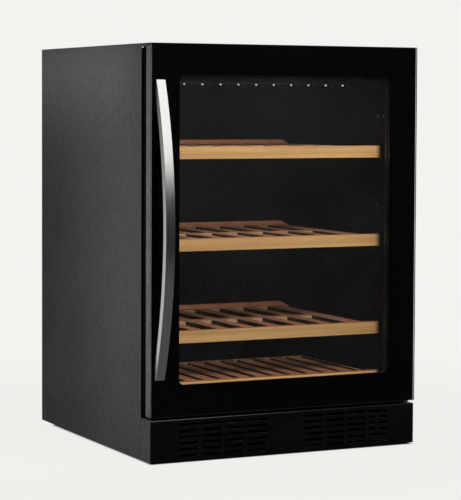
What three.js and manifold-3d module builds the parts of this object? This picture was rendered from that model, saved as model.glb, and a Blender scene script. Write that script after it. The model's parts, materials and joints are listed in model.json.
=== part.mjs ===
// A built-under wine cooler with one glass door: a steel cabinet, three sliding wooden shelves,
// a fixed bottom shelf, and the cooling machine behind a ventilated plinth.
//
// Millimetres, +Z up, the door faces -Y. Inside the cabinet group x = 0 is the middle, y = 0 is the
// front edge of the side panels and z = 0 is the floor. The whole group is centred on its own box.

import * as THREE from 'three';
import { mergeVertices } from 'three/addons/utils/BufferGeometryUtils.js';
import Module from 'manifold-3d';

const wasm = await Module();
wasm.setup();

// ------------------------------------------------------------------ cabinet

const WIDTH = 595;               // cabinet and door, left to right
const HEIGHT = 820;              // floor to the top of the cabinet
const CABINET_DEPTH = 549.5;     // front edge to back
const FLOOR_CLEARANCE = 3;       // side panels and plinth stand this far off the floor
const SHEET = 1;                 // steel sheet of the outer panels
const FIT = 0.3;                 // gap between pieces that touch
const OVERCUT = 1;               // how far a cutting or joining block runs past a surface

const SIDE_WALL = 30;            // outside of the cabinet to the inside of the liner
const CEILING_WALL = 32;         // top of the cabinet to the liner's ceiling
const LINER_FLOOR = 118;         // liner's floor above the floor
const LINER_BACK_WALL = 48.5;    // back of the cabinet to the liner's back
const LINER_WALL = 1.5;

const MACHINE_HEIGHT = 178;      // roof of the machine space above the floor
const MACHINE_DEPTH = 187.5;     // machine space, measured from the back of the cabinet
const STEP_FOAM = 28.5;          // foam between the machine space and the liner's step
const STEP_ROOF_FOAM = 30;

const BOTTOM_PANEL_HEIGHT = 92;  // underside of the foamed body above the floor
const BOTTOM_SHEET = 1.2;
const BOTTOM_PANEL_DROP = 30;    // front flange of the bottom panel, turned down

const FRAME_DEPTH = 10;          // front frame, proud of the cabinet's front edge
const FRAME_INSET = 4;           // front frame in from the cabinet's sides
const FRAME_BOTTOM = 94;

const TRIM_HEIGHT = 6;           // strip that closes the gap above the door seal
const TRIM_DOOR_CLEARANCE = 1;
const TRIM_BRACKET_CLEARANCE = 6;

// ------------------------------------------------------------------ door

const DOOR_GAP = 24.1;           // cabinet's front edge to the back of the door
const DOOR_THICKNESS = 26.6;
const DOOR_BOTTOM = 91.4;        // above the floor
const GLASS = 4;
const BORDER_SIDE = 61.5;        // black border of the glass, to the window
const BORDER_TOP = 63.5;
const BORDER_BOTTOM = 60.9;
const WINDOW_RADIUS = 12;
const PRINT_THICKNESS = 0.5;
const PRINT_INSET = 1;
const SPACER_DEPTH = 10;         // air space of the double glazing
const SPACER_WIDTH = 8;
const SPACER_INSET = 2;          // hidden behind the printed border
const CAP_HEIGHT = 6;            // end caps of the door frame

const GASKET_OFFSET = 7;         // liner's mouth to the seal
const GASKET_WIDTH = 9;

const HANDLE_LENGTH = 583;
const HANDLE_REACH = 56.3;       // glass to the outermost point of the bow
const HANDLE_END_REACH = 7.3;    // glass to the outer corner of each end
const HANDLE_WIDTH = 19.3;
const HANDLE_THICKNESS = 14;
const HANDLE_EDGE = 6;           // from the door's left edge
const HANDLE_BOTTOM = 74.6;      // above the door's bottom

// ------------------------------------------------------------------ hinges

const HINGE_INSET = 12;          // axis from the door's right edge
const HINGE_BEHIND_FRONT = 18.7; // axis from the front of the door
const ARM_WIDTH = 14;
const ARM_THICKNESS = 3;
const ARM_FRONT_CLEARANCE = 1.4; // round the arm in the recess of the top cap
const ARM_RECESS = 4;            // depth of that recess
const ARM_GAP = 0.6;             // arm below the top of the door, and above the recess
const LOWER_ARM_CLEARANCE = 1.6; // between the lower arm and the door above it
const BRACKET_SHEET = 2;
const UPPER_FLANGE = 14.4;       // height of the flange on the front frame
const LOWER_FLANGE = 27.8;
const PIN_RADIUS = 3;
const PIN_PLAY = 0.3;
const PIN_END_PLAY = 1;
const PIN_ENGAGEMENT = 6;        // into the door frame, past the cap

// ------------------------------------------------------------------ plinth

const PLINTH_TOP = 85.2;         // above the floor
const PLINTH_SETBACK = 3.9;      // plinth's front behind the door's front
const PLINTH_WALL = 2;
const PLINTH_REAR_GAP = 5;       // top flange of the plinth ends here, in front of the cabinet
const VENT_LENGTH = 44;
const VENT_GAP = 6;
const VENT_HEIGHT = 5;
const VENT_PITCH = 12.2;
const VENT_COLUMNS = 4;          // on each side of the middle
const VENT_ROWS = 6;
const VENT_LOWEST = 13.4;        // middle of the lowest row above the floor

// ------------------------------------------------------------------ shelves

const SHELF_COUNT = 3;           // sliding shelves, counted from the top
const SHELF_PITCH = 183.75;
const LOWEST_SHELF = 132;        // top of the lowest sliding shelf above the liner's floor
const SHELF_FRONT = 20;          // behind the cabinet's front edge
const SHELF_SIDE_ROOM = 7.7;     // between a shelf and the liner, where the rails are
const FASCIA_HEIGHT = 25;
const FASCIA_THICKNESS = 18;
const SLAT_DROP = 3;             // slats below the top of the front board
const SLAT_THICKNESS = 12;
const SHELF_REAR_ROOM = 19;       // behind the rear board, to the duct cover
const RACK_SIDE_INSET = 24.8;    // rack narrower than the front board, which hides the runners
const RACK_END_BAR = 14;
const RACK_CROSSBAR = 30;
const CROSSBAR_FORWARD = 12;     // of the middle between the end bars
const RACK_SIDE_BAR = 38;
const SLOT_PITCH = 60;
const SLOT_WIDTH = 34;
const REAR_BOARD_THICKNESS = 13;
const REAR_BOARD_RISE = 6;       // above the top of the front board
const REAR_BOARD_CHAMFER = 23;
const REAR_BOARD_CHAMFER_DROP = 12;

const RUNNER_FRONT = 180;        // runner strip on the rack's side starts here
const RUNNER_THICKNESS = 5;
const RUNNER_PLAY = 0.4;
const RUNNER_DROP = 7.5;         // top of the runner below the top of the shelf
const RAIL_FRONT = 44;
const RAIL_LIP = 2;
const RAIL_WEB = 1.5;
const RAIL_SHELF_CLEARANCE = 0.5;

const BOTTOM_SHELF_HEIGHT = 30;  // its top above the liner's floor
const BOTTOM_SHELF_BACK_ROOM = 6;
const BOTTOM_SIDE_BAR = 8;
const BOTTOM_SLOT_PITCH = 40;
const BOTTOM_SLOT_WIDTH = 14;
const BATTEN_WIDTH = 20;
const BATTEN_INSET = 22;

// ------------------------------------------------------------------ light, air duct and evaporator

const LIGHT_FRONT = 28;
const LIGHT_DEPTH = 52;
const LIGHT_HEIGHT = 42;
const LAMP_COUNT = 10;
const LAMP_PITCH = 40.2;
const LAMP_RADIUS = 4;
const LAMP_STRIP_FRONT = 47;
const LAMP_STRIP_WIDTH = 14;
const LAMP_STRIP_THICKNESS = 2.5;
const LAMP_STRIP_END = 12;

const DUCT_DEPTH = 35;           // duct cover's front to the liner's back
const DUCT_WALL = 2;
const FAN_GRILLE_HEIGHT = 175;   // its middle above the liner's floor
const FAN_GRILLE_HALF_WIDTH = 25;
const FAN_GRILLE_SPAN = 46;
const FAN_GRILLE_PITCH = 9;
const FAN_GRILLE_SLOT = 4.5;
const DUCT_SLOT_COUNT = 15;      // on each side of the fan grille
const DUCT_SLOT_PITCH = 13.5;
const DUCT_SLOT_WIDTH = 5;
const DUCT_SLOT_HEIGHT = 44;
const DUCT_SLOT_GAP = 17.5;      // fan grille to the first slot
const DUCT_EDGE = 8;

const EVAPORATOR_WIDTH = 360;
const EVAPORATOR_HEIGHT = 280;
const EVAPORATOR_RISE = 240;     // its underside above the liner's floor
const EVAPORATOR_CLEARANCE = 3;
const FIN_PITCH = 15;
const FIN_THICKNESS = 1.2;
const FIN_SPINE = 4;

const FAN_RADIUS = 46;
const FAN_DEPTH = 10;
const FAN_FRONT = 4;             // behind the duct cover
const FAN_HUB_RADIUS = 13;
const FAN_BLADES = 5;
const FAN_BLADE_THICKNESS = 1.6;
const FAN_BLADE_TILT = 32;       // degrees
const FAN_MOTOR_RADIUS = 18;
const FAN_MOTOR_GAP = 1.5;
const FAN_SHAFT_RADIUS = 2;
const FAN_SHAFT_PLAY = 0.5;
const FAN_HUB_FACE = 2;

// ------------------------------------------------------------------ machine space

const BASE_SHEET = 1.5;
const BASE_HEIGHT = 8;           // underside of the base pan above the floor
const BASE_UPSTAND = 22;
const BASE_FRONT = 3;
const FOOT_INSET = 32.5;         // foot's axis from the cabinet's sides
const FOOT_FRONT = 45;
const FOOT_REAR = 44.5;          // rear feet from the back of the cabinet
const FOOT_RADIUS = 15;
const FOOT_THICKNESS = 5;
const FOOT_STUD_RADIUS = 4;
const FOOT_STUD_PLAY = 0.6;
const FOOT_TRAVEL = 50;
const FOOT_THREAD_LEFT = 7;      // stud still in the base pan when the foot is right down
const SOCKET_WALL = 4.5;
const SOCKET_PLAY = 1.5;

const CONDENSER_LEFT = 42;       // from the cabinet's left side
const CONDENSER_WIDTH = 200;
const CONDENSER_FRONT = 20;
const CONDENSER_DEPTH = 36;
const CONDENSER_HEIGHT = 74;
const SHROUD_GAP = 4;
const SHROUD_WALL = 3;
const SHROUD_DEPTH = 46;
const SHROUD_WIDTH = 100;
const CONDENSER_FAN_RADIUS = 29;
const CONDENSER_FAN_PLAY = 3;
const CONDENSER_MOTOR_DEPTH = 18;

const COMPRESSOR_FROM_RIGHT = 177.5;
const COMPRESSOR_FROM_BACK = 94.5;
const COMPRESSOR_RADIUS = 68;
const COMPRESSOR_TAPER = 12;      // shell narrows by this at its foot and its neck
const COMPRESSOR_CROWN_RADIUS = 34;
const COMPRESSOR_FOOT_HEIGHT = 20;
const COMPRESSOR_SHOULDER_HEIGHT = 79;
const COMPRESSOR_CROWN_DROP = 16; // neck to the top
const COMPRESSOR_HEIGHT = 132;
const GROMMET_HEIGHT = 12;
const GROMMET_RADIUS = 9;
const GROMMET_SPREAD = 45;
const MOUNT_PLATE = 3;

const TRAY_LEFT = 50;            // drip tray from the cabinet's left side
const TRAY_WIDTH = 130;
const TRAY_DEPTH = 120;
const TRAY_HEIGHT = 34;
const TRAY_WALL = 2;
const TRAY_FROM_BACK = 30;

const CONTROL_BOX_X = -30;
const CONTROL_BOX_WIDTH = 70;
const CONTROL_BOX_DEPTH = 40;
const CONTROL_BOX_HEIGHT = 90;
const CONTROL_BOX_FROM_BACK = 20;

const DRYER_FROM_RIGHT = 72.5;
const DRYER_FROM_BACK = 150;
const DRYER_RADIUS = 11;
const DRYER_NECK_RADIUS = 4;
const DRYER_LENGTH = 110;
const DRYER_NECK = 14;

const INLET_FROM_RIGHT = 92.5;
const INLET_HEIGHT = 70;         // middle of the socket above the floor
const INLET_SOCKET_WIDTH = 23;
const INLET_SOCKET_HEIGHT = 15;
const INLET_WALL = 2;
const INLET_DEPTH = 20;
const INLET_SOCKET_DEPTH = 16;
const INLET_FLANGE = 4;

const COVER_SHEET = 1.2;
const COVER_VENT_COLUMNS = 3;
const COVER_VENT_ROWS = 6;
const COVER_VENT_LENGTH = 70;
const COVER_VENT_GAP = 12;
const COVER_VENT_HEIGHT = 6;
const COVER_VENT_PITCH = 16;
const COVER_VENT_FROM_LEFT = 47.5;
const COVER_VENT_LOWEST = 50;

// ------------------------------------------------------------------ derived places

const HALF = WIDTH / 2;
const LINER_HALF = HALF - SIDE_WALL;
const LINER_CEILING = HEIGHT - CEILING_WALL;
const LINER_BACK = CABINET_DEPTH - LINER_BACK_WALL;
const PANEL_HALF = HALF - SHEET - FIT;                 // pieces between the side panels
const MACHINE_FRONT = CABINET_DEPTH - MACHINE_DEPTH;
const STEP_FRONT = MACHINE_FRONT - STEP_FOAM - LINER_WALL;
const STEP_TOP = MACHINE_HEIGHT + STEP_ROOF_FOAM + LINER_WALL;
const FRAME_HALF = HALF - FRAME_INSET;
const FRAME_TOP = HEIGHT - TRIM_HEIGHT - FIT;
const DUCT_FRONT = LINER_BACK - DUCT_DEPTH;

const DOOR_HEIGHT = HEIGHT - DOOR_BOTTOM;
const WINDOW_HALF = HALF - BORDER_SIDE;
const WINDOW_LOW = BORDER_BOTTOM;
const WINDOW_HIGH = DOOR_HEIGHT - BORDER_TOP;
const GLASS_BACK = -DOOR_THICKNESS + GLASS;            // in the door's own frame, back face at y = 0
const SPACER_FRONT = GLASS_BACK + FIT + PRINT_THICKNESS + FIT;
const INNER_GLASS_FRONT = SPACER_FRONT + SPACER_DEPTH + FIT;
const GLAZING_OUT = SPACER_INSET + SPACER_WIDTH;       // window's edge to the edge of the inner glass

const HINGE_X = HALF - HINGE_INSET;
const HINGE_Y = -DOOR_GAP - DOOR_THICKNESS + HINGE_BEHIND_FRONT;
const ARM_LEFT = HINGE_X - ARM_WIDTH / 2;
const ARM_RIGHT = HINGE_X + ARM_WIDTH / 2;
const ARM_FRONT = HINGE_Y - ARM_WIDTH / 2;
const UPPER_ARM_TOP = HEIGHT - ARM_GAP;
const UPPER_ARM_LOW = UPPER_ARM_TOP - ARM_THICKNESS;
const LOWER_ARM_TOP = DOOR_BOTTOM - LOWER_ARM_CLEARANCE;

const SHELF_HALF = LINER_HALF - SHELF_SIDE_ROOM;
const RACK_HALF = SHELF_HALF - RACK_SIDE_INSET;
const RACK_FRONT = SHELF_FRONT + FASCIA_THICKNESS + FIT;
const RACK_BACK = DUCT_FRONT - SHELF_REAR_ROOM - REAR_BOARD_THICKNESS - FIT;
const RAIL_OUTER = LINER_HALF - FIT;
const RAIL_INNER = SHELF_HALF + RAIL_SHELF_CLEARANCE;
const RUNNER_REACH = RAIL_OUTER - RAIL_WEB - RUNNER_PLAY;
const BASE_TOP = BASE_HEIGHT + BASE_SHEET;
const COMPRESSOR_X = HALF - COMPRESSOR_FROM_RIGHT;
const DRYER_X = HALF - DRYER_FROM_RIGHT;
const INLET_X = HALF - INLET_FROM_RIGHT;
const ON_BASE = BASE_TOP + FIT;

// ------------------------------------------------------------------ finishes

function finish(color, roughness, metalness) {
  return new THREE.MeshStandardMaterial({ color, roughness, metalness });
}

const BLACK_PAINT = finish(0x1b1b1d, 0.45, 0.2);
const BLACK_PLASTIC = finish(0x121214, 0.5, 0);
const LINER_PLASTIC = finish(0x1c1c1e, 0.6, 0);
const CLEAR_GLASS = new THREE.MeshStandardMaterial({
  color: 0x20242a, roughness: 0.05, metalness: 0, transparent: true, opacity: 0.3,
});
const STEEL = finish(0xc8c9cb, 0.3, 1);
const ZINC = finish(0xa9acb0, 0.45, 0.9);
const ALUMINIUM = finish(0xb9bcbf, 0.4, 0.9);
const COPPER = finish(0xa8683c, 0.35, 0.9);
const RUBBER = finish(0x161616, 0.85, 0);
const BEECH = finish(0xc4935a, 0.6, 0);
const BEECH_DARK = finish(0x7d5440, 0.65, 0);
const FOAM = finish(0xd9cf9f, 0.9, 0);
const LAMP = finish(0xf2f4ff, 0.2, 0);

// ------------------------------------------------------------------ ways to make a solid

function block(left, right, front, back, low, high) {
  const geometry = new THREE.BoxGeometry(right - left, back - front, high - low);
  return geometry.translate((left + right) / 2, (front + back) / 2, (low + high) / 2);
}

// A closed outline with square corners, or round ones of the given radius.
function rectangle(left, right, low, high, radius = 0) {
  const shape = new THREE.Shape();
  if (radius === 0) {
    shape.moveTo(left, low).lineTo(right, low).lineTo(right, high).lineTo(left, high);
    return shape;
  }
  const quarter = Math.PI / 2;
  shape.moveTo(left + radius, low);
  shape.absarc(right - radius, low + radius, radius, -quarter, 0, false);
  shape.absarc(right - radius, high - radius, radius, 0, quarter, false);
  shape.absarc(left + radius, high - radius, radius, quarter, 2 * quarter, false);
  shape.absarc(left + radius, low + radius, radius, 2 * quarter, 3 * quarter, false);
  return shape;
}

function polygon(points) {
  return new THREE.Shape(points.map(([across, up]) => new THREE.Vector2(across, up)));
}

function circle(x, y, radius) {
  const shape = new THREE.Shape();
  shape.absarc(x, y, radius, 0, 2 * Math.PI, false);
  return shape;
}

function pierced(outline, holes) {
  outline.holes.push(...holes);
  return outline;
}

function extruded(shape, depth, curveSegments = 3) {
  return new THREE.ExtrudeGeometry(shape, { depth, bevelEnabled: false, curveSegments });
}

// The outline's two directions are X and Y; the solid goes from low to high.
function flat(shape, low, high, curveSegments) {
  return extruded(shape, high - low, curveSegments).translate(0, 0, low);
}

// The outline's two directions are X and Z; the solid goes from front to back.
function upright(shape, front, back, curveSegments) {
  return extruded(shape, back - front, curveSegments).rotateX(Math.PI / 2).translate(0, back, 0);
}

// The outline's two directions are Y and Z; the solid goes from left to right.
function sideways(shape, left, right, curveSegments) {
  const turn = new THREE.Matrix4().makeBasis(
    new THREE.Vector3(0, 1, 0), new THREE.Vector3(0, 0, 1), new THREE.Vector3(1, 0, 0));
  return extruded(shape, right - left, curveSegments).applyMatrix4(turn).translate(left, 0, 0);
}

// A turned solid about the vertical axis: the outline is a list of [radius, height] from the bottom up.
function turned(outline, segments = 20) {
  const profile = outline.map(([radius, height]) => new THREE.Vector2(radius, height));
  return new THREE.LatheGeometry(profile, segments).rotateX(Math.PI / 2);
}

function rod(radius, low, high, segments = 16) {
  return turned([[0, low], [radius, low], [radius, high], [0, high]], segments);
}

function aimedBack(geometry) {
  return geometry.rotateX(-Math.PI / 2);
}

function welded(geometry) {
  const bare = new THREE.BufferGeometry();
  bare.setAttribute('position', geometry.getAttribute('position'));
  bare.setIndex(geometry.getIndex());
  const merged = mergeVertices(bare, 1e-4);
  const corners = merged.getIndex().array;
  const kept = [];
  for (let i = 0; i < corners.length; i += 3) {
    const [a, b, c] = [corners[i], corners[i + 1], corners[i + 2]];
    if (a !== b && b !== c && c !== a) kept.push(a, b, c);
  }
  merged.setIndex(kept);
  return merged;
}

function solidOf(geometry) {
  const merged = welded(geometry);
  return new wasm.Manifold(new wasm.Mesh({
    numProp: 3,
    vertProperties: new Float32Array(merged.getAttribute('position').array),
    triVerts: new Uint32Array(merged.getIndex().array),
  }));
}

function geometryOf(solid) {
  const mesh = solid.getMesh();
  const geometry = new THREE.BufferGeometry();
  geometry.setAttribute('position', new THREE.BufferAttribute(mesh.vertProperties, 3));
  geometry.setIndex(new THREE.BufferAttribute(mesh.triVerts, 1));
  return geometry;
}

function cut(body, ...tools) {
  return geometryOf(tools.reduce((rest, tool) => rest.subtract(solidOf(tool)), solidOf(body)));
}

function join(body, ...others) {
  return geometryOf(others.reduce((whole, other) => whole.add(solidOf(other)), solidOf(body)));
}

function add(group, name, geometry, material) {
  const mesh = new THREE.Mesh(welded(geometry), material.clone());
  mesh.name = name;
  group.add(mesh);
  return mesh;
}

// Middles of as many equal steps as fit in a span, centred on it.
function evenSteps(span, pitch) {
  const count = Math.max(1, Math.floor(span / pitch));
  return Array.from({ length: count }, (_, i) => (i - (count - 1) / 2) * pitch);
}

// ------------------------------------------------------------------ cabinet shell

function addPanels(cabinet) {
  const panelTop = HEIGHT - SHEET - FIT;
  add(cabinet, 'left_side_panel',
    block(-HALF, -HALF + SHEET, 0, CABINET_DEPTH, FLOOR_CLEARANCE, panelTop), BLACK_PAINT);
  add(cabinet, 'right_side_panel',
    block(HALF - SHEET, HALF, 0, CABINET_DEPTH, FLOOR_CLEARANCE, panelTop), BLACK_PAINT);
  add(cabinet, 'top_panel',
    block(-HALF, HALF, 0, CABINET_DEPTH, HEIGHT - SHEET, HEIGHT), BLACK_PAINT);
  add(cabinet, 'rear_panel',
    block(-PANEL_HALF, PANEL_HALF, CABINET_DEPTH - SHEET, CABINET_DEPTH, MACHINE_HEIGHT, panelTop),
    BLACK_PAINT);

  // One bent sheet under the foam: a front flange, the floor, a riser and the machine space's roof.
  const under = BOTTOM_PANEL_HEIGHT;
  const back = CABINET_DEPTH - SHEET - FIT;
  const sheet = BOTTOM_SHEET;
  const bent = polygon([
    [0, under - BOTTOM_PANEL_DROP], [sheet, under - BOTTOM_PANEL_DROP], [sheet, under],
    [MACHINE_FRONT, under], [MACHINE_FRONT, MACHINE_HEIGHT - sheet], [back, MACHINE_HEIGHT - sheet],
    [back, MACHINE_HEIGHT], [MACHINE_FRONT - sheet, MACHINE_HEIGHT],
    [MACHINE_FRONT - sheet, under + sheet], [0, under + sheet],
  ]);
  add(cabinet, 'bottom_panel', sideways(bent, -PANEL_HALF, PANEL_HALF), ZINC);
}

// The liner's outline seen from the side; grow moves every wall outwards.
function linerOutline(front, grow) {
  return polygon([
    [front, LINER_FLOOR - grow], [STEP_FRONT + grow, LINER_FLOOR - grow],
    [STEP_FRONT + grow, STEP_TOP - grow], [LINER_BACK + grow, STEP_TOP - grow],
    [LINER_BACK + grow, LINER_CEILING + grow], [front, LINER_CEILING + grow],
  ]);
}

function addLiner(cabinet) {
  const outer = LINER_HALF + LINER_WALL;
  add(cabinet, 'inner_liner', cut(
    sideways(linerOutline(FIT, LINER_WALL), -outer, outer),
    sideways(linerOutline(-OVERCUT, 0), -LINER_HALF, LINER_HALF)), LINER_PLASTIC);

  const low = BOTTOM_PANEL_HEIGHT + BOTTOM_SHEET + FIT;
  const front = MACHINE_FRONT - BOTTOM_SHEET - FIT;
  const back = CABINET_DEPTH - SHEET - FIT;
  const high = HEIGHT - SHEET - FIT;
  const foam = polygon([
    [FIT, low], [front, low], [front, MACHINE_HEIGHT + FIT], [back, MACHINE_HEIGHT + FIT],
    [back, high], [FIT, high],
  ]);
  add(cabinet, 'insulation', cut(
    sideways(foam, -PANEL_HALF, PANEL_HALF),
    sideways(linerOutline(-OVERCUT, LINER_WALL + FIT), -outer - FIT, outer + FIT)), FOAM);

  add(cabinet, 'front_frame', upright(pierced(
    rectangle(-FRAME_HALF, FRAME_HALF, FRAME_BOTTOM, FRAME_TOP),
    [rectangle(-LINER_HALF, LINER_HALF, LINER_FLOOR, LINER_CEILING)]), -FRAME_DEPTH, 0), BLACK_PLASTIC);

  add(cabinet, 'top_trim', block(
    -HALF, ARM_LEFT - TRIM_BRACKET_CLEARANCE, -DOOR_GAP + TRIM_DOOR_CLEARANCE, -FIT,
    HEIGHT - TRIM_HEIGHT, HEIGHT), BLACK_PAINT);
}

// ------------------------------------------------------------------ light, duct and evaporator

function addLight(cabinet) {
  const low = LINER_CEILING - LIGHT_HEIGHT;
  const half = LINER_HALF - FIT;
  add(cabinet, 'light_housing', block(
    -half, half, LIGHT_FRONT, LIGHT_FRONT + LIGHT_DEPTH, low, LINER_CEILING - FIT), BLACK_PLASTIC);

  const stripTop = low - FIT;
  const stripLow = stripTop - LAMP_STRIP_THICKNESS;
  const lampY = LAMP_STRIP_FRONT + LAMP_STRIP_WIDTH / 2;
  const reach = (LAMP_COUNT - 1) / 2 * LAMP_PITCH;
  const lamps = [];
  for (let i = 0; i < LAMP_COUNT; i += 1) {
    const dome = new THREE.SphereGeometry(LAMP_RADIUS, 10, 6);
    lamps.push(dome.translate(i * LAMP_PITCH - reach, lampY, stripLow));
  }
  const stripHalf = reach + LAMP_STRIP_END;
  const strip = block(-stripHalf, stripHalf, LAMP_STRIP_FRONT, LAMP_STRIP_FRONT + LAMP_STRIP_WIDTH,
    stripLow, stripTop);
  const above = block(-stripHalf, stripHalf, LAMP_STRIP_FRONT, LAMP_STRIP_FRONT + LAMP_STRIP_WIDTH,
    stripTop, stripTop + LAMP_RADIUS);
  add(cabinet, 'led_strip', cut(join(strip, ...lamps), above), LAMP);
}

function addDuct(cabinet) {
  const front = DUCT_FRONT;
  const back = DUCT_FRONT + DUCT_WALL;
  const middle = LINER_FLOOR + FAN_GRILLE_HEIGHT;
  const slot = (left, width, low, height) => block(
    left, left + width, front - OVERCUT, back + OVERCUT, low, low + height);
  const slots = [];
  for (const rise of evenSteps(FAN_GRILLE_SPAN, FAN_GRILLE_PITCH)) {
    const low = middle + rise - FAN_GRILLE_SLOT / 2;
    slots.push(slot(-FAN_GRILLE_HALF_WIDTH, 2 * FAN_GRILLE_HALF_WIDTH, low, FAN_GRILLE_SLOT));
  }
  const start = FAN_GRILLE_HALF_WIDTH + DUCT_SLOT_GAP;
  const room = LINER_HALF - DUCT_EDGE - DUCT_SLOT_WIDTH - start;
  const count = Math.min(DUCT_SLOT_COUNT, Math.floor(room / DUCT_SLOT_PITCH) + 1);
  for (let i = 0; i < count; i += 1) {
    const inner = start + i * DUCT_SLOT_PITCH;
    for (const left of [inner, -inner - DUCT_SLOT_WIDTH]) {
      slots.push(slot(left, DUCT_SLOT_WIDTH, middle - DUCT_SLOT_HEIGHT / 2, DUCT_SLOT_HEIGHT));
    }
  }
  const half = LINER_HALF - FIT;
  add(cabinet, 'duct_cover', cut(
    block(-half, half, front, back, STEP_TOP + FIT, LINER_CEILING - FIT), ...slots), LINER_PLASTIC);
}

// A block of upright fins on a spine: fins point forwards, from front to the spine at back.
function finned(left, right, front, back, low, high) {
  const points = [[left, back], [left, front]];
  const gaps = Math.max(1, Math.floor((right - left - FIN_THICKNESS) / FIN_PITCH));
  const pitch = (right - left - FIN_THICKNESS) / gaps;
  for (let i = 0; i < gaps; i += 1) {
    const fin = left + i * pitch;
    points.push([fin + FIN_THICKNESS, front], [fin + FIN_THICKNESS, back - FIN_SPINE]);
    points.push([fin + pitch, back - FIN_SPINE], [fin + pitch, front]);
  }
  points.push([right, front], [right, back]);
  return flat(polygon(points), low, high);
}

// A fan rotor about the Y axis with its front face at y = 0 and a blind bore from the back.
function rotor(radius, depth) {
  const hub = aimedBack(rod(FAN_HUB_RADIUS, 0, depth));
  const root = FAN_HUB_RADIUS - 2 * FAN_BLADE_THICKNESS;
  const chord = (depth - 2 * FAN_BLADE_THICKNESS) / Math.sin(THREE.MathUtils.degToRad(FAN_BLADE_TILT));
  const blades = [];
  for (let i = 0; i < FAN_BLADES; i += 1) {
    const blade = new THREE.BoxGeometry(chord, FAN_BLADE_THICKNESS, radius - root);
    blade.rotateZ(THREE.MathUtils.degToRad(FAN_BLADE_TILT)).translate(0, depth / 2, (radius + root) / 2);
    blades.push(blade.rotateY(2 * Math.PI * i / FAN_BLADES));
  }
  const bore = aimedBack(rod(FAN_SHAFT_RADIUS + FAN_SHAFT_PLAY, FAN_HUB_FACE, depth + OVERCUT));
  return cut(join(hub, ...blades), bore);
}

function addEvaporator(cabinet) {
  const low = LINER_FLOOR + EVAPORATOR_RISE;
  add(cabinet, 'evaporator', finned(
    -EVAPORATOR_WIDTH / 2, EVAPORATOR_WIDTH / 2, DUCT_FRONT + DUCT_WALL + EVAPORATOR_CLEARANCE,
    LINER_BACK - FIT, low, low + EVAPORATOR_HEIGHT), ALUMINIUM);

  const rotorFront = DUCT_FRONT + DUCT_WALL + FAN_FRONT;
  const motorFront = rotorFront + FAN_DEPTH + FAN_MOTOR_GAP;
  const height = LINER_FLOOR + FAN_GRILLE_HEIGHT;
  const motor = join(
    aimedBack(rod(FAN_MOTOR_RADIUS, motorFront, LINER_BACK - FIT)),
    aimedBack(rod(FAN_SHAFT_RADIUS, rotorFront + 2 * FAN_HUB_FACE, motorFront + OVERCUT)));
  add(cabinet, 'evaporator_fan_motor', motor, BLACK_PLASTIC).position.set(0, 0, height);
  add(cabinet, 'evaporator_fan', rotor(FAN_RADIUS, FAN_DEPTH), BLACK_PLASTIC)
    .position.set(0, rotorFront, height);
}

// ------------------------------------------------------------------ shelves

// A slatted plate; the slots lie in one row, or in two with a crossbar between them.
function rackPlate(front, back, sideBar, pitch, slotWidth, rows) {
  const low = -SLAT_DROP - SLAT_THICKNESS;
  const start = front + RACK_END_BAR;
  const end = back - RACK_END_BAR;
  const bar = (start + end - RACK_CROSSBAR) / 2 - CROSSBAR_FORWARD;
  const spans = rows === 1 ? [[start, end]] : [[start, bar], [bar + RACK_CROSSBAR, end]];
  const slots = [];
  for (const middle of evenSteps(2 * (RACK_HALF - sideBar) + pitch - slotWidth, pitch)) {
    for (const [from, to] of spans) {
      slots.push(block(middle - slotWidth / 2, middle + slotWidth / 2, from, to,
        low - OVERCUT, OVERCUT - SLAT_DROP));
    }
  }
  return cut(block(-RACK_HALF, RACK_HALF, front, back, low, -SLAT_DROP), ...slots);
}

// Heights in a shelf are measured from the top of its front board.
function fasciaBoard() {
  return block(-SHELF_HALF, SHELF_HALF, SHELF_FRONT, SHELF_FRONT + FASCIA_THICKNESS, -FASCIA_HEIGHT, 0);
}

function rearBoard() {
  const front = RACK_BACK + FIT;
  const shoulder = REAR_BOARD_RISE - REAR_BOARD_CHAMFER_DROP;
  const flatHalf = SHELF_HALF - REAR_BOARD_CHAMFER;
  return upright(polygon([
    [-SHELF_HALF, -FASCIA_HEIGHT], [SHELF_HALF, -FASCIA_HEIGHT], [SHELF_HALF, shoulder],
    [flatHalf, REAR_BOARD_RISE], [-flatHalf, REAR_BOARD_RISE], [-SHELF_HALF, shoulder],
  ]), front, front + REAR_BOARD_THICKNESS);
}

function slidingRack() {
  const low = -RUNNER_DROP - RUNNER_THICKNESS;
  const runner = (from, to) => block(from, to, RUNNER_FRONT, RACK_BACK, low, -RUNNER_DROP);
  return join(rackPlate(RACK_FRONT, RACK_BACK, RACK_SIDE_BAR, SLOT_PITCH, SLOT_WIDTH, 2),
    runner(-RUNNER_REACH, -RACK_HALF + OVERCUT), runner(RACK_HALF - OVERCUT, RUNNER_REACH));
}

// A channel on the liner's wall that holds the shelf's runner; side is -1 at the left, 1 at the right.
function rail(side) {
  const grooveTop = -RUNNER_DROP + FIT;
  const grooveLow = -RUNNER_DROP - RUNNER_THICKNESS - FIT;
  const web = RAIL_OUTER - RAIL_WEB;
  const section = [
    [RAIL_INNER, grooveLow - RAIL_LIP], [RAIL_OUTER, grooveLow - RAIL_LIP],
    [RAIL_OUTER, grooveTop + RAIL_LIP], [RAIL_INNER, grooveTop + RAIL_LIP],
    [RAIL_INNER, grooveTop], [web, grooveTop], [web, grooveLow], [RAIL_INNER, grooveLow],
  ];
  const outline = polygon(section.map(([across, up]) => [side * across, up]));
  return upright(outline, RAIL_FRONT, RACK_BACK + FIT + REAR_BOARD_THICKNESS);
}

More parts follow.
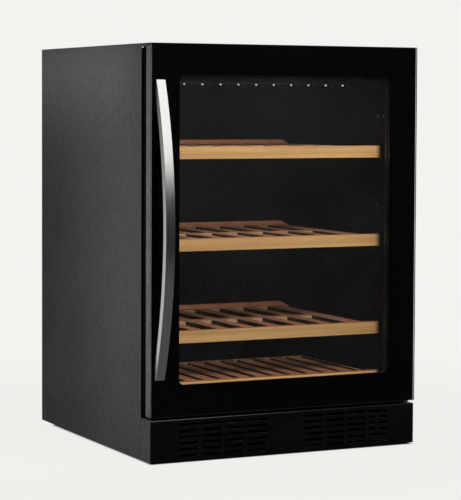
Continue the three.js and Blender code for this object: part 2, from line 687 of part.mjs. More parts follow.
function addShelves(cabinet) {
  for (let i = 1; i <= SHELF_COUNT; i += 1) {
    const shelf = new THREE.Group();
    shelf.position.z = LINER_FLOOR + LOWEST_SHELF + (SHELF_COUNT - i) * SHELF_PITCH;
    cabinet.add(shelf);
    add(shelf, `shelf_${i}_front_board`, fasciaBoard(), BEECH);
    add(shelf, `shelf_${i}_rack`, slidingRack(), BEECH_DARK);
    add(shelf, `shelf_${i}_rear_board`, rearBoard(), BEECH_DARK);
    add(shelf, `shelf_${i}_left_rail`, rail(-1), BLACK_PLASTIC);
    add(shelf, `shelf_${i}_right_rail`, rail(1), BLACK_PLASTIC);
  }

  const bottom = new THREE.Group();
  bottom.position.z = LINER_FLOOR + BOTTOM_SHELF_HEIGHT;
  cabinet.add(bottom);
  const back = STEP_FRONT - BOTTOM_SHELF_BACK_ROOM;
  const batten = (front) => block(-RACK_HALF, RACK_HALF, front, front + BATTEN_WIDTH,
    -BOTTOM_SHELF_HEIGHT + FIT, -SLAT_DROP - SLAT_THICKNESS / 2);
  const slats = rackPlate(RACK_FRONT, back, BOTTOM_SIDE_BAR, BOTTOM_SLOT_PITCH, BOTTOM_SLOT_WIDTH, 1);
  add(bottom, 'bottom_shelf_front_board', fasciaBoard(), BEECH);
  add(bottom, 'bottom_shelf_rack', join(
    slats, batten(RACK_FRONT + BATTEN_INSET), batten(back - BATTEN_INSET - BATTEN_WIDTH)), BEECH_DARK);
}

// ------------------------------------------------------------------ door

function ring(outerHalf, outerLow, outerHigh, grow, radius, front, back) {
  return upright(pierced(
    rectangle(-outerHalf, outerHalf, outerLow, outerHigh),
    [rectangle(-WINDOW_HALF - grow, WINDOW_HALF + grow, WINDOW_LOW - grow, WINDOW_HIGH + grow, radius)],
  ), front, back);
}

function pinBore(low, high) {
  const bore = rod(PIN_RADIUS + PIN_PLAY, low, high);
  return bore.translate(HINGE_X, HINGE_Y + DOOR_GAP, 0);
}

// The door's own frame: y = 0 is its back face, z = 0 its bottom.
function addDoor(door) {
  const print = HALF - PRINT_INSET;
  const glazingHalf = WINDOW_HALF + GLAZING_OUT;
  const glazingLow = WINDOW_LOW - GLAZING_OUT;
  const glazingHigh = WINDOW_HIGH + GLAZING_OUT;
  const lipFront = INNER_GLASS_FRONT + GLASS + FIT;

  add(door, 'outer_glass', block(-HALF, HALF, -DOOR_THICKNESS, GLASS_BACK, 0, DOOR_HEIGHT), CLEAR_GLASS);
  add(door, 'glass_border', ring(print, PRINT_INSET, DOOR_HEIGHT - PRINT_INSET, 0, WINDOW_RADIUS,
    GLASS_BACK + FIT, GLASS_BACK + FIT + PRINT_THICKNESS), BLACK_PLASTIC);
  add(door, 'glass_spacer', ring(glazingHalf, glazingLow, glazingHigh, SPACER_INSET, WINDOW_RADIUS,
    SPACER_FRONT, SPACER_FRONT + SPACER_DEPTH), BLACK_PLASTIC);
  add(door, 'inner_glass', block(-glazingHalf, glazingHalf, INNER_GLASS_FRONT, INNER_GLASS_FRONT + GLASS,
    glazingLow, glazingHigh), CLEAR_GLASS);

  const pocket = block(-glazingHalf - FIT, glazingHalf + FIT, SPACER_FRONT - OVERCUT, lipFront,
    glazingLow - FIT, glazingHigh + FIT);
  const boreDepth = CAP_HEIGHT + PIN_ENGAGEMENT + PIN_END_PLAY;
  add(door, 'door_frame', cut(
    ring(HALF, CAP_HEIGHT, DOOR_HEIGHT - CAP_HEIGHT, SPACER_INSET, WINDOW_RADIUS, SPACER_FRONT, 0),
    pocket, pinBore(0, boreDepth), pinBore(DOOR_HEIGHT - boreDepth, DOOR_HEIGHT)), BLACK_PAINT);

  const recess = block(ARM_LEFT - ARM_FRONT_CLEARANCE, HALF + OVERCUT,
    ARM_FRONT - ARM_FRONT_CLEARANCE - ARM_RECESS + DOOR_GAP, OVERCUT, DOOR_HEIGHT - ARM_RECESS,
    DOOR_HEIGHT + OVERCUT);
  add(door, 'door_top_cap', cut(
    block(-HALF, HALF, SPACER_FRONT, 0, DOOR_HEIGHT - CAP_HEIGHT + FIT, DOOR_HEIGHT),
    recess, pinBore(DOOR_HEIGHT - boreDepth, DOOR_HEIGHT)), BLACK_PLASTIC);
  add(door, 'door_bottom_cap', cut(
    block(-HALF, HALF, SPACER_FRONT, 0, 0, CAP_HEIGHT - FIT), pinBore(-OVERCUT, boreDepth)), BLACK_PLASTIC);

  const gasketIn = GASKET_OFFSET;
  const gasketOut = GASKET_OFFSET + GASKET_WIDTH;
  const floor = LINER_FLOOR - DOOR_BOTTOM;
  const ceiling = LINER_CEILING - DOOR_BOTTOM;
  const seal = (out) => rectangle(-LINER_HALF - out, LINER_HALF + out, floor - out, ceiling + out);
  add(door, 'door_gasket', upright(pierced(seal(gasketOut), [seal(gasketIn)]),
    FIT, DOOR_GAP - FRAME_DEPTH - FIT), RUBBER);

  addHandle(door);
}

// A flat bow of two parallel arcs that rests with both ends on the glass.
function addHandle(door) {
  const glass = -DOOR_THICKNESS - FIT;
  const middle = HANDLE_BOTTOM + HANDLE_LENGTH / 2;
  const half = HANDLE_LENGTH / 2;
  const rise = HANDLE_REACH - FIT - HANDLE_END_REACH;
  const outer = (half ** 2 + rise ** 2) / (2 * rise);
  const inner = outer - HANDLE_THICKNESS;
  const centre = glass - HANDLE_REACH + FIT + outer;
  const outerSpan = Math.asin(half / outer);
  const innerSpan = Math.acos((centre - glass) / inner);
  const bow = new THREE.Shape();
  bow.moveTo(glass, middle - half);
  bow.absarc(centre, middle, outer, Math.PI + outerSpan, Math.PI - outerSpan, true);
  bow.lineTo(glass, middle + half);
  bow.absarc(centre, middle, inner, Math.PI - innerSpan, Math.PI + innerSpan, false);
  const left = -HALF + HANDLE_EDGE;
  add(door, 'door_handle', sideways(bow, left, left + HANDLE_WIDTH, 12), STEEL);
}

// ------------------------------------------------------------------ hinges

function hingePin(low, high) {
  return rod(PIN_RADIUS, low, high).translate(HINGE_X, HINGE_Y, 0);
}

// A flat arm with a round end about the hinge axis, reaching back to the given place.
function hingeArm(back, low) {
  const arm = new THREE.Shape();
  arm.moveTo(ARM_RIGHT, HINGE_Y);
  arm.lineTo(ARM_RIGHT, back);
  arm.lineTo(ARM_LEFT, back);
  arm.absarc(HINGE_X, HINGE_Y, ARM_WIDTH / 2, Math.PI, 2 * Math.PI, false);
  return flat(arm, low, low + ARM_THICKNESS, 6);
}

function addHinges(cabinet) {
  const upperBack = -FRAME_DEPTH - FIT;
  add(cabinet, 'upper_hinge', join(
    hingeArm(upperBack, UPPER_ARM_LOW),
    block(ARM_LEFT, ARM_RIGHT, upperBack - BRACKET_SHEET, upperBack,
      UPPER_ARM_TOP - UPPER_FLANGE, UPPER_ARM_TOP),
    hingePin(HEIGHT - CAP_HEIGHT - PIN_ENGAGEMENT, UPPER_ARM_LOW + OVERCUT)), ZINC);

  const lowerBack = -FIT;
  add(cabinet, 'lower_hinge', join(
    hingeArm(lowerBack, LOWER_ARM_TOP - ARM_THICKNESS),
    block(ARM_LEFT, ARM_RIGHT, lowerBack - BRACKET_SHEET, lowerBack,
      LOWER_ARM_TOP - LOWER_FLANGE, LOWER_ARM_TOP),
    hingePin(LOWER_ARM_TOP - OVERCUT, DOOR_BOTTOM + CAP_HEIGHT + PIN_ENGAGEMENT)), ZINC);
}

// ------------------------------------------------------------------ plinth and base

function addPlinth(cabinet) {
  const front = -DOOR_GAP - DOOR_THICKNESS + PLINTH_SETBACK;
  const slots = [];
  for (let column = 0; column < VENT_COLUMNS; column += 1) {
    const outer = WINDOW_HALF - column * (VENT_LENGTH + VENT_GAP);
    for (let row = 0; row < VENT_ROWS; row += 1) {
      const low = VENT_LOWEST + row * VENT_PITCH - VENT_HEIGHT / 2;
      for (const left of [-outer, outer - VENT_LENGTH]) {
        slots.push(block(left, left + VENT_LENGTH, front - OVERCUT, front + PLINTH_WALL + OVERCUT,
          low, low + VENT_HEIGHT));
      }
    }
  }
  const face = cut(
    block(-HALF, HALF, front, front + PLINTH_WALL, FLOOR_CLEARANCE, PLINTH_TOP), ...slots);
  const inside = front + PLINTH_WALL / 2;
  add(cabinet, 'plinth_grille', join(face,
    block(-HALF, -HALF + PLINTH_WALL, inside, -FIT, FLOOR_CLEARANCE, PLINTH_TOP),
    block(HALF - PLINTH_WALL, HALF, inside, -FIT, FLOOR_CLEARANCE, PLINTH_TOP),
    block(-HALF, HALF, inside, -PLINTH_REAR_GAP, PLINTH_TOP - PLINTH_WALL, PLINTH_TOP)), BLACK_PAINT);
}

const FEET = [
  ['front_left_foot', -1, FOOT_FRONT], ['front_right_foot', 1, FOOT_FRONT],
  ['rear_left_foot', -1, CABINET_DEPTH - FOOT_REAR], ['rear_right_foot', 1, CABINET_DEPTH - FOOT_REAR],
];

function addBase(cabinet) {
  const back = CABINET_DEPTH - COVER_SHEET - FIT;
  const footX = HALF - FOOT_INSET;
  const sockets = [];
  const holes = [];
  for (const [, side, y] of FEET) {
    const socket = pierced(circle(0, 0, FOOT_RADIUS + SOCKET_PLAY + SOCKET_WALL),
      [circle(0, 0, FOOT_RADIUS + SOCKET_PLAY)]);
    sockets.push(flat(socket, 0, BASE_HEIGHT + BASE_SHEET / 2, 8).translate(side * footX, y, 0));
    holes.push(rod(FOOT_STUD_RADIUS + FOOT_STUD_PLAY, BASE_HEIGHT - OVERCUT, BASE_TOP + OVERCUT)
      .translate(side * footX, y, 0));
  }
  const upstand = (left) => block(left, left + BASE_SHEET, BASE_FRONT, back, BASE_HEIGHT,
    BASE_TOP + BASE_UPSTAND);
  add(cabinet, 'base_pan', cut(join(
    block(-PANEL_HALF, PANEL_HALF, BASE_FRONT, back, BASE_HEIGHT, BASE_TOP),
    upstand(-PANEL_HALF), upstand(PANEL_HALF - BASE_SHEET), ...sockets), ...holes), ZINC);

  const studTop = BASE_TOP + FOOT_TRAVEL + FOOT_THREAD_LEFT;
  const foot = turned([[0, FIT], [FOOT_RADIUS, FIT], [FOOT_RADIUS, FOOT_THICKNESS],
    [FOOT_STUD_RADIUS, FOOT_THICKNESS], [FOOT_STUD_RADIUS, studTop], [0, studTop]]);
  for (const [name, side, y] of FEET) {
    add(cabinet, name, foot, BLACK_PLASTIC).position.set(side * footX, y, 0);
  }
}

// ------------------------------------------------------------------ machine space

function addCondenser(cabinet) {
  const left = -HALF + CONDENSER_LEFT;
  const coilBack = CONDENSER_FRONT + CONDENSER_DEPTH;
  const high = ON_BASE + CONDENSER_HEIGHT;
  add(cabinet, 'condenser', finned(left, left + CONDENSER_WIDTH, CONDENSER_FRONT, coilBack,
    ON_BASE, high), BLACK_PAINT);

  const x = left + CONDENSER_WIDTH / 2;
  const z = ON_BASE + CONDENSER_HEIGHT / 2;
  const front = coilBack + SHROUD_GAP;
  const half = SHROUD_WIDTH / 2;
  const bore = CONDENSER_FAN_RADIUS + CONDENSER_FAN_PLAY;
  const plate = upright(pierced(rectangle(-half, half, -CONDENSER_HEIGHT / 2, CONDENSER_HEIGHT / 2),
    [circle(0, 0, bore)]), 0, SHROUD_WALL, 10);
  const motorFront = SHROUD_DEPTH - CONDENSER_MOTOR_DEPTH;
  const cheek = (from) => block(from, from + SHROUD_WALL, 0, SHROUD_DEPTH,
    -CONDENSER_HEIGHT / 2, CONDENSER_HEIGHT / 2);
  const bridge = block(-half, half, SHROUD_DEPTH - SHROUD_WALL, SHROUD_DEPTH,
    -FAN_MOTOR_RADIUS / 2, FAN_MOTOR_RADIUS / 2);
  const rotorFront = motorFront - FAN_MOTOR_GAP - FAN_DEPTH;
  add(cabinet, 'condenser_fan_shroud', join(plate, cheek(-half), cheek(half - SHROUD_WALL), bridge,
    aimedBack(rod(FAN_MOTOR_RADIUS, motorFront, SHROUD_DEPTH - OVERCUT)),
    aimedBack(rod(FAN_SHAFT_RADIUS, rotorFront + 2 * FAN_HUB_FACE, motorFront + OVERCUT))), BLACK_PLASTIC)
    .position.set(x, front, z);
  add(cabinet, 'condenser_fan', rotor(CONDENSER_FAN_RADIUS, FAN_DEPTH), BLACK_PLASTIC)
    .position.set(x, front + rotorFront, z);
}

function addCompressor(cabinet) {
  const y = CABINET_DEPTH - COMPRESSOR_FROM_BACK;
  const plateLow = GROMMET_HEIGHT;
  const grommets = [];
  for (const side of [-1, 1]) {
    for (const end of [-1, 1]) {
      grommets.push(rod(GROMMET_RADIUS, 0, plateLow + MOUNT_PLATE / 2, 12)
        .translate(side * GROMMET_SPREAD, end * GROMMET_SPREAD, 0));
    }
  }
  const plateHalf = GROMMET_SPREAD + GROMMET_RADIUS;
  add(cabinet, 'compressor_mount', join(
    block(-plateHalf, plateHalf, -plateHalf, plateHalf, plateLow, plateLow + MOUNT_PLATE), ...grommets),
    ZINC).position.set(COMPRESSOR_X, y, ON_BASE);

  const belly = COMPRESSOR_RADIUS;
  const neck = belly - COMPRESSOR_TAPER;
  const high = COMPRESSOR_HEIGHT;
  add(cabinet, 'compressor', turned([
    [0, 0], [neck, 0], [belly, COMPRESSOR_FOOT_HEIGHT], [belly, COMPRESSOR_SHOULDER_HEIGHT],
    [neck, high - COMPRESSOR_CROWN_DROP], [COMPRESSOR_CROWN_RADIUS, high], [0, high],
  ]), BLACK_PAINT).position.set(COMPRESSOR_X, y, ON_BASE + plateLow + MOUNT_PLATE + FIT);
}

function addMachineParts(cabinet) {
  addCondenser(cabinet);
  addCompressor(cabinet);

  const trayLeft = -HALF + TRAY_LEFT;
  const trayBack = CABINET_DEPTH - TRAY_FROM_BACK;
  const trayFront = trayBack - TRAY_DEPTH;
  add(cabinet, 'drip_tray', cut(
    block(trayLeft, trayLeft + TRAY_WIDTH, trayFront, trayBack, ON_BASE, ON_BASE + TRAY_HEIGHT),
    block(trayLeft + TRAY_WALL, trayLeft + TRAY_WIDTH - TRAY_WALL, trayFront + TRAY_WALL,
      trayBack - TRAY_WALL, ON_BASE + TRAY_WALL, ON_BASE + TRAY_HEIGHT + TRAY_WALL)), BLACK_PLASTIC);

  const boxBack = CABINET_DEPTH - CONTROL_BOX_FROM_BACK;
  add(cabinet, 'control_box', block(
    CONTROL_BOX_X - CONTROL_BOX_WIDTH / 2, CONTROL_BOX_X + CONTROL_BOX_WIDTH / 2,
    boxBack - CONTROL_BOX_DEPTH, boxBack, ON_BASE, ON_BASE + CONTROL_BOX_HEIGHT), BLACK_PLASTIC);

  const neck = DRYER_NECK_RADIUS;
  add(cabinet, 'filter_dryer', turned([
    [0, 0], [neck, 0], [DRYER_RADIUS, DRYER_NECK], [DRYER_RADIUS, DRYER_LENGTH - DRYER_NECK],
    [neck, DRYER_LENGTH], [0, DRYER_LENGTH],
  ], 14), COPPER).position.set(DRYER_X, CABINET_DEPTH - DRYER_FROM_BACK, ON_BASE);
}

function addRearCover(cabinet) {
  const bodyHalfWidth = INLET_SOCKET_WIDTH / 2 + INLET_WALL;
  const bodyHalfHeight = INLET_SOCKET_HEIGHT / 2 + INLET_WALL;
  const front = CABINET_DEPTH - COVER_SHEET;
  const hole = (left, right, low, high) => block(
    left, right, front - OVERCUT, CABINET_DEPTH + OVERCUT, low, high);
  const holes = [hole(
    INLET_X - bodyHalfWidth - FIT, INLET_X + bodyHalfWidth + FIT,
    INLET_HEIGHT - bodyHalfHeight - FIT, INLET_HEIGHT + bodyHalfHeight + FIT)];
  for (let column = 0; column < COVER_VENT_COLUMNS; column += 1) {
    const left = -HALF + COVER_VENT_FROM_LEFT + column * (COVER_VENT_LENGTH + COVER_VENT_GAP);
    for (let row = 0; row < COVER_VENT_ROWS; row += 1) {
      const low = COVER_VENT_LOWEST + row * COVER_VENT_PITCH;
      holes.push(hole(left, left + COVER_VENT_LENGTH, low, low + COVER_VENT_HEIGHT));
    }
  }
  add(cabinet, 'rear_cover', cut(
    block(-PANEL_HALF, PANEL_HALF, front, CABINET_DEPTH, BASE_HEIGHT,
      MACHINE_HEIGHT - BOTTOM_SHEET - FIT), ...holes), ZINC);

  const rear = INLET_DEPTH;
  const socket = block(-INLET_SOCKET_WIDTH / 2, INLET_SOCKET_WIDTH / 2, rear - INLET_SOCKET_DEPTH,
    rear + OVERCUT, -INLET_SOCKET_HEIGHT / 2, INLET_SOCKET_HEIGHT / 2);
  const flangeBack = rear - COVER_SHEET - FIT;
  const body = join(
    block(-bodyHalfWidth, bodyHalfWidth, 0, rear, -bodyHalfHeight, bodyHalfHeight),
    block(-bodyHalfWidth - INLET_FLANGE, bodyHalfWidth + INLET_FLANGE, flangeBack - INLET_WALL,
      flangeBack, -bodyHalfHeight - INLET_FLANGE, bodyHalfHeight + INLET_FLANGE));
  add(cabinet, 'power_inlet', cut(body, socket), BLACK_PLASTIC)
    .position.set(INLET_X, CABINET_DEPTH - rear, INLET_HEIGHT);
}

// ------------------------------------------------------------------ the whole cooler

const cooler = new THREE.Group();
const frontReach = DOOR_GAP + DOOR_THICKNESS + HANDLE_REACH;
cooler.position.y = (frontReach - CABINET_DEPTH) / 2;

addPanels(cooler);
addLiner(cooler);
addLight(cooler);
addDuct(cooler);
addEvaporator(cooler);
addShelves(cooler);
addPlinth(cooler);
addBase(cooler);
addMachineParts(cooler);
addRearCover(cooler);
addHinges(cooler);

const door = new THREE.Group();
door.position.set(0, -DOOR_GAP, DOOR_BOTTOM);
cooler.add(door);
addDoor(door);

export default cooler;
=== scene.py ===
# %% [markdown]
# # A built-under wine cooler
#
# The cabinet is a folded steel box round a dark moulded liner. Its door is a sheet of black-bordered
# glass with a bowed steel handle, and behind it three wooden shelves slide on rails above a fixed one.
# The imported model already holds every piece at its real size, so each step below either gives one of
# those pieces a finish, or models a finer piece that takes its place.

# %% Load the frame
import json
import math

import bmesh
import bpy
from mathutils import Matrix, Quaternion, Vector

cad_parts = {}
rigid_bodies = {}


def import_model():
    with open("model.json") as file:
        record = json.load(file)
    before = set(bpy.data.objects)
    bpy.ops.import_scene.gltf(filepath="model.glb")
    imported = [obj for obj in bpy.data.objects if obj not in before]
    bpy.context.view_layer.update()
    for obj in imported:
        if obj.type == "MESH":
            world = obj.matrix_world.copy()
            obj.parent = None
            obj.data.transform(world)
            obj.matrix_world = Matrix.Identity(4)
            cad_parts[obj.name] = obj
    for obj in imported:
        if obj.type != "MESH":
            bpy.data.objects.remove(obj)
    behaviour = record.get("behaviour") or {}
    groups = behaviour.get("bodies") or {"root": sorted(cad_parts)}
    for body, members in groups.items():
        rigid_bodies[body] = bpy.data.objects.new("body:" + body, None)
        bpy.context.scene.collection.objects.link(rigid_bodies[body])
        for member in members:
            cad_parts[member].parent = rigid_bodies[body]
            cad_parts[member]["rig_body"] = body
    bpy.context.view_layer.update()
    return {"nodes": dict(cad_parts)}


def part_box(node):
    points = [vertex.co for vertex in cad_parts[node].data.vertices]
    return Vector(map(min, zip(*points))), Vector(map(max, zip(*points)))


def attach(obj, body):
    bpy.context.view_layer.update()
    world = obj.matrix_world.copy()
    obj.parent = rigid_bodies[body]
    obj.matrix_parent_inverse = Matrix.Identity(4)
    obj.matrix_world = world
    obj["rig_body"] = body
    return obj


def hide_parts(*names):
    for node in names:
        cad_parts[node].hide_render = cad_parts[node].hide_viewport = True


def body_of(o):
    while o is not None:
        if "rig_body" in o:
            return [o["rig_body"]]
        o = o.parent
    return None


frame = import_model()
nodes = frame["nodes"]
MM = 0.001

# %% [markdown]
# ## Camera, floor and light
#
# A long lens from the front left, a little below the cabinet's top, keeps the uprights nearly parallel.
# The studio is a world that changes with direction: a bright ceiling, pale ground behind and dim walls
# in front, so black glass stays black while steel and paint still find something to reflect. What the
# camera itself sees is plain pale grey. Four lamps help: one in front reaches the shelves through the
# glass, one beside the cabinet models the side panel's front, one its top, and one inside fills the racks.

# %% Camera
LENS_PER_SENSOR = 1989.42 / 500
VIEW_YAW = math.radians(25.985)
VIEW_PITCH = math.radians(-2.998)
VIEW_ROLL = math.radians(0.258)
VIEW_SHIFT = -0.08
VIEW_PLACE = (-1.84103, -3.78679, 0.69886)

camera_data = bpy.data.cameras.new("view_camera")
camera_data.sensor_width = 36
camera_data.lens = LENS_PER_SENSOR * camera_data.sensor_width
camera_data.shift_y = VIEW_SHIFT
camera_data.clip_end = 100
camera = bpy.data.objects.new("view_camera", camera_data)
bpy.context.scene.collection.objects.link(camera)
camera.location = VIEW_PLACE
aim = Vector((math.sin(VIEW_YAW) * math.cos(VIEW_PITCH), math.cos(VIEW_YAW) * math.cos(VIEW_PITCH),
              math.sin(VIEW_PITCH)))
camera.rotation_mode = "QUATERNION"
camera.rotation_quaternion = aim.to_track_quat("-Z", "Y") @ Quaternion((0, 0, 1), VIEW_ROLL)
bpy.context.scene.camera = camera
bpy.context.scene.view_settings.view_transform = "Standard"
print("lens", round(camera_data.lens, 1), "mm")

# %% Small helpers for node trees
BACKGROUND = (0.896, 0.888, 0.871, 1)


def grey(level):
    return (level, level, level, 1)


def add_node(tree, kind, inputs=None, **settings):
    node = tree.nodes.new("ShaderNode" + kind)
    for key, value in settings.items():
        setattr(node, key, value)
    for key, value in (inputs or {}).items():
        if isinstance(value, bpy.types.NodeSocket):
            tree.links.new(value, node.inputs[key])
        else:
            node.inputs[key].default_value = value
    return node


def noise(tree, place, scale, detail, roughness=0.5, distortion=0.0):
    return add_node(tree, "TexNoise", {"Vector": place, "Scale": scale, "Detail": detail,
                                       "Roughness": roughness, "Distortion": distortion}).outputs["Fac"]


def math_node(tree, operation, first, second=0.0, clamp=False):
    node = add_node(tree, "Math", {0: first, 1: second}, operation=operation)
    node.use_clamp = clamp
    return node.outputs[0]


def product(tree, first, second, clamp=False):
    return math_node(tree, "MULTIPLY", first, second, clamp)


def ramp(tree, value, low, high, out_low=0.0, out_high=1.0):
    node = add_node(tree, "MapRange", {
        "Value": value, "From Min": low, "From Max": high, "To Min": out_low, "To Max": out_high,
    }, interpolation_type="SMOOTHSTEP")
    return node.outputs["Result"]


def mix_colors(tree, factor, first, second, blend="MIX"):
    node = add_node(tree, "Mix", {"Factor": factor, 6: first, 7: second},
                    data_type="RGBA", blend_type=blend)
    return node.outputs[2]


def mix(tree, share, first, second):
    return add_node(tree, "Mix", {0: share, 2: first, 3: second}).outputs[0]


# %% World
world = bpy.data.worlds.new("studio")
world.use_nodes = True
bpy.context.scene.world = world
sky = world.node_tree
sky.nodes.clear()
direction = add_node(sky, "TexCoord").outputs["Generated"]
heading = add_node(sky, "SeparateXYZ", {0: direction}).outputs
behind = ramp(sky, heading["Y"], -0.25, 0.35)
above = ramp(sky, heading["Z"], 0.10, 0.27)
below = ramp(sky, heading["Z"], 0.02, -0.10)
far_below = ramp(sky, heading["Z"], -0.12, -0.30)
ceiling = ramp(sky, heading["X"], -0.6, 0.0, 0.06, 1.08)
wall = ramp(sky, behind, 0, 1, 0.010, 0.10)
front_ground = ramp(sky, far_below, 0, 1, 0.010, 0.075)
ground = mix(sky, behind, front_ground, 0.55)
level = mix(sky, below, wall, ground)
level = mix(sky, above, level, ceiling)
rays = add_node(sky, "LightPath")
seen = math_node(sky, "MAXIMUM", rays.outputs["Is Camera Ray"], rays.outputs["Is Transmission Ray"])
studio = add_node(sky, "Background", {"Color": (1.0, 0.995, 0.98, 1), "Strength": level})
plain = add_node(sky, "Background", {"Color": BACKGROUND, "Strength": 1.0})
both = add_node(sky, "MixShader", {0: seen, 1: studio.outputs[0], 2: plain.outputs[0]})
add_node(sky, "OutputWorld", {"Surface": both.outputs[0]})

# %% Floor
FLOOR_HALF = 3.0
floor_mesh = bpy.data.meshes.new("studio_floor")
floor_bm = bmesh.new()
bmesh.ops.create_grid(floor_bm, x_segments=1, y_segments=1, size=FLOOR_HALF)
floor_bm.to_mesh(floor_mesh)
floor_bm.free()
floor = bpy.data.objects.new("studio_floor", floor_mesh)
bpy.context.scene.collection.objects.link(floor)

# The paper is as pale as the background, a little less so near the cabinet, and beneath it lies a black
# painted shadow.
PAINTED_SHADOW_X = (0.290, 0.302)
PAINTED_SHADOW_Y = (0.262, 0.274)
paper = bpy.data.materials.new("floor_paper")
paper.use_nodes = True
tree = paper.node_tree
tree.nodes.clear()
place = add_node(tree, "TexCoord").outputs["Object"]
reach = add_node(tree, "VectorMath", {0: place}, operation="LENGTH").outputs["Value"]
far = ramp(tree, reach, 0.45, 1.6, 0.94, 1.0)
spot = add_node(tree, "SeparateXYZ", {0: place})
beside = ramp(tree, math_node(tree, "ABSOLUTE", spot.outputs["X"]), *PAINTED_SHADOW_X)
apart = ramp(tree, math_node(tree, "ABSOLUTE", spot.outputs["Y"]), *PAINTED_SHADOW_Y)
outside_painted_shadow = math_node(tree, "MAXIMUM", beside, apart)
rays = add_node(tree, "LightPath")
seen = math_node(tree, "MAXIMUM", rays.outputs["Is Camera Ray"], rays.outputs["Is Transmission Ray"])
share = product(tree, product(tree, far, outside_painted_shadow), seen)
matt = add_node(tree, "BsdfDiffuse", {"Color": mix_colors(
    tree, outside_painted_shadow, grey(0.006), (0.30, 0.297, 0.29, 1))})
glow = add_node(tree, "Emission", {"Color": BACKGROUND, "Strength": 1.0})
both = add_node(tree, "MixShader", {0: share, 1: matt.outputs[0], 2: glow.outputs[0]})
add_node(tree, "OutputMaterial", {"Surface": both.outputs[0]})
floor_mesh.materials.append(paper)
floor.visible_glossy = False


# %% Lamps
def area_lamp(name, place, target, width, height, watts):
    data = bpy.data.lights.new(name, "AREA")
    data.shape = "RECTANGLE"
    data.size = width
    data.size_y = height
    data.energy = watts
    lamp = bpy.data.objects.new(name, data)
    bpy.context.scene.collection.objects.link(lamp)
    lamp.location = place
    lamp.rotation_mode = "QUATERNION"
    lamp.rotation_quaternion = (Vector(target) - Vector(place)).to_track_quat("-Z", "Y")
    lamp.visible_camera = False
    lamp.visible_glossy = False


area_lamp("front_lamp", (-0.1, -1.8, 1.35), (0, -0.2, 0.45), 0.5, 0.5, 31)
area_lamp("edge_lamp", (-0.66, -0.16, 0.46), (-0.3, -0.16, 0.46), 0.1, 0.77, 2.75)
area_lamp("top_left_lamp", (-0.44, 0.16, 0.775), (-0.3, 0.16, 0.775), 0.62, 0.05, 0.75)
area_lamp("cabinet_lamp", (0, -0.13, 0.735), (0, -0.02, 0.3), 0.4, 0.05, 0.8)
print("four lamps set")

# %% [markdown]
# ## Effects that several finishes share
#
# Sheet paint, moulded plastic and steel look real through the same few effects at different sizes: a
# fine skin that catches the light, patches where hands and dust have dulled the gloss, a painted highlight
# along edges, the lines a belt leaves on steel, and the grain of wood. Each is a shader node group with
# named inputs, built once, so a finish only has to say how strong and how large it wants the effect.


# %% A group is a small tree with named sockets
def new_group(name, inputs, outputs):
    group = bpy.data.node_groups.new(name, "ShaderNodeTree")
    for title, kind, value in inputs:
        socket = group.interface.new_socket(title, in_out="INPUT", socket_type=kind)
        socket.default_value = value
    for title, kind in outputs:
        group.interface.new_socket(title, in_out="OUTPUT", socket_type=kind)
    given = group.nodes.new("NodeGroupInput").outputs
    result = group.nodes.new("NodeGroupOutput").inputs
    return group, given, result


def object_place(tree):
    return add_node(tree, "TexCoord").outputs["Object"]


def along_axis(tree, axis):
    return add_node(tree, "SeparateXYZ", {0: object_place(tree)}).outputs[axis]


FLOAT = "NodeSocketFloat"
COLOR = "NodeSocketColor"
VECTOR = "NodeSocketVector"

# %% Fine skin of paint and moulded plastic
skin, given, result = new_group(
    "fine_skin", [("Scale", FLOAT, 500.0)], [("Height", FLOAT), ("Shade", FLOAT)])
coarse = noise(skin, object_place(skin), given["Scale"], 2.0)
fine = add_node(skin, "TexVoronoi", {
    "Vector": object_place(skin), "Scale": product(skin, given["Scale"], 1.7)})
bumps = math_node(skin, "ADD", coarse, product(skin, fine.outputs["Distance"], 0.5))
skin.links.new(bumps, result["Height"])
skin.links.new(ramp(skin, coarse, 0.35, 0.65), result["Shade"])

# %% Patches of handling and dust
wear, given, result = new_group(
    "handling", [("Scale", FLOAT, 6.0), ("Clean", FLOAT, 0.35), ("Dull", FLOAT, 0.5)],
    [("Roughness", FLOAT), ("Mask", FLOAT)])
patches = noise(wear, object_place(wear), given["Scale"], 6.0, 0.62)
marks = noise(wear, object_place(wear), product(wear, given["Scale"], 14.0), 3.0)
both = product(wear, patches, math_node(wear, "ADD", marks, 0.5))
mask = ramp(wear, both, 0.38, 0.66)
wear.links.new(mix(wear, mask, given["Clean"], given["Dull"]), result["Roughness"])
wear.links.new(mask, result["Mask"])

# %% Painted highlight along edges
edge_highlight, given, result = new_group(
    "painted_edge_highlight", [("Strength", FLOAT, 0.5)], [("Mask", FLOAT)])
edge = add_node(edge_highlight, "NewGeometry").outputs["Pointiness"]
breakup = noise(edge_highlight, object_place(edge_highlight), 120.0, 3.0)
# Painted highlight: convex edges are made paler, broken up in patches.
lit_edges = product(edge_highlight, ramp(edge_highlight, edge, 0.52, 0.62), ramp(edge_highlight, breakup, 0.35, 0.6))
edge_highlight.links.new(product(edge_highlight, lit_edges, given["Strength"], clamp=True), result["Mask"])

# %% Lines left by a belt on steel
brushed, given, result = new_group(
    "belt_lines", [("Stretch", VECTOR, (900.0, 900.0, 6.0)), ("Clean", FLOAT, 0.2), ("Dull", FLOAT, 0.32)],
    [("Height", FLOAT), ("Shade", FLOAT), ("Roughness", FLOAT)])
scaled = add_node(brushed, "VectorMath", {
    0: object_place(brushed), 1: given["Stretch"]}, operation="MULTIPLY")
lines = noise(brushed, scaled.outputs[0], 1.0, 4.0, 0.6)
shade = ramp(brushed, lines, 0.3, 0.7)
brushed.links.new(lines, result["Height"])
brushed.links.new(shade, result["Shade"])
brushed.links.new(mix(brushed, shade, given["Clean"], given["Dull"]), result["Roughness"])

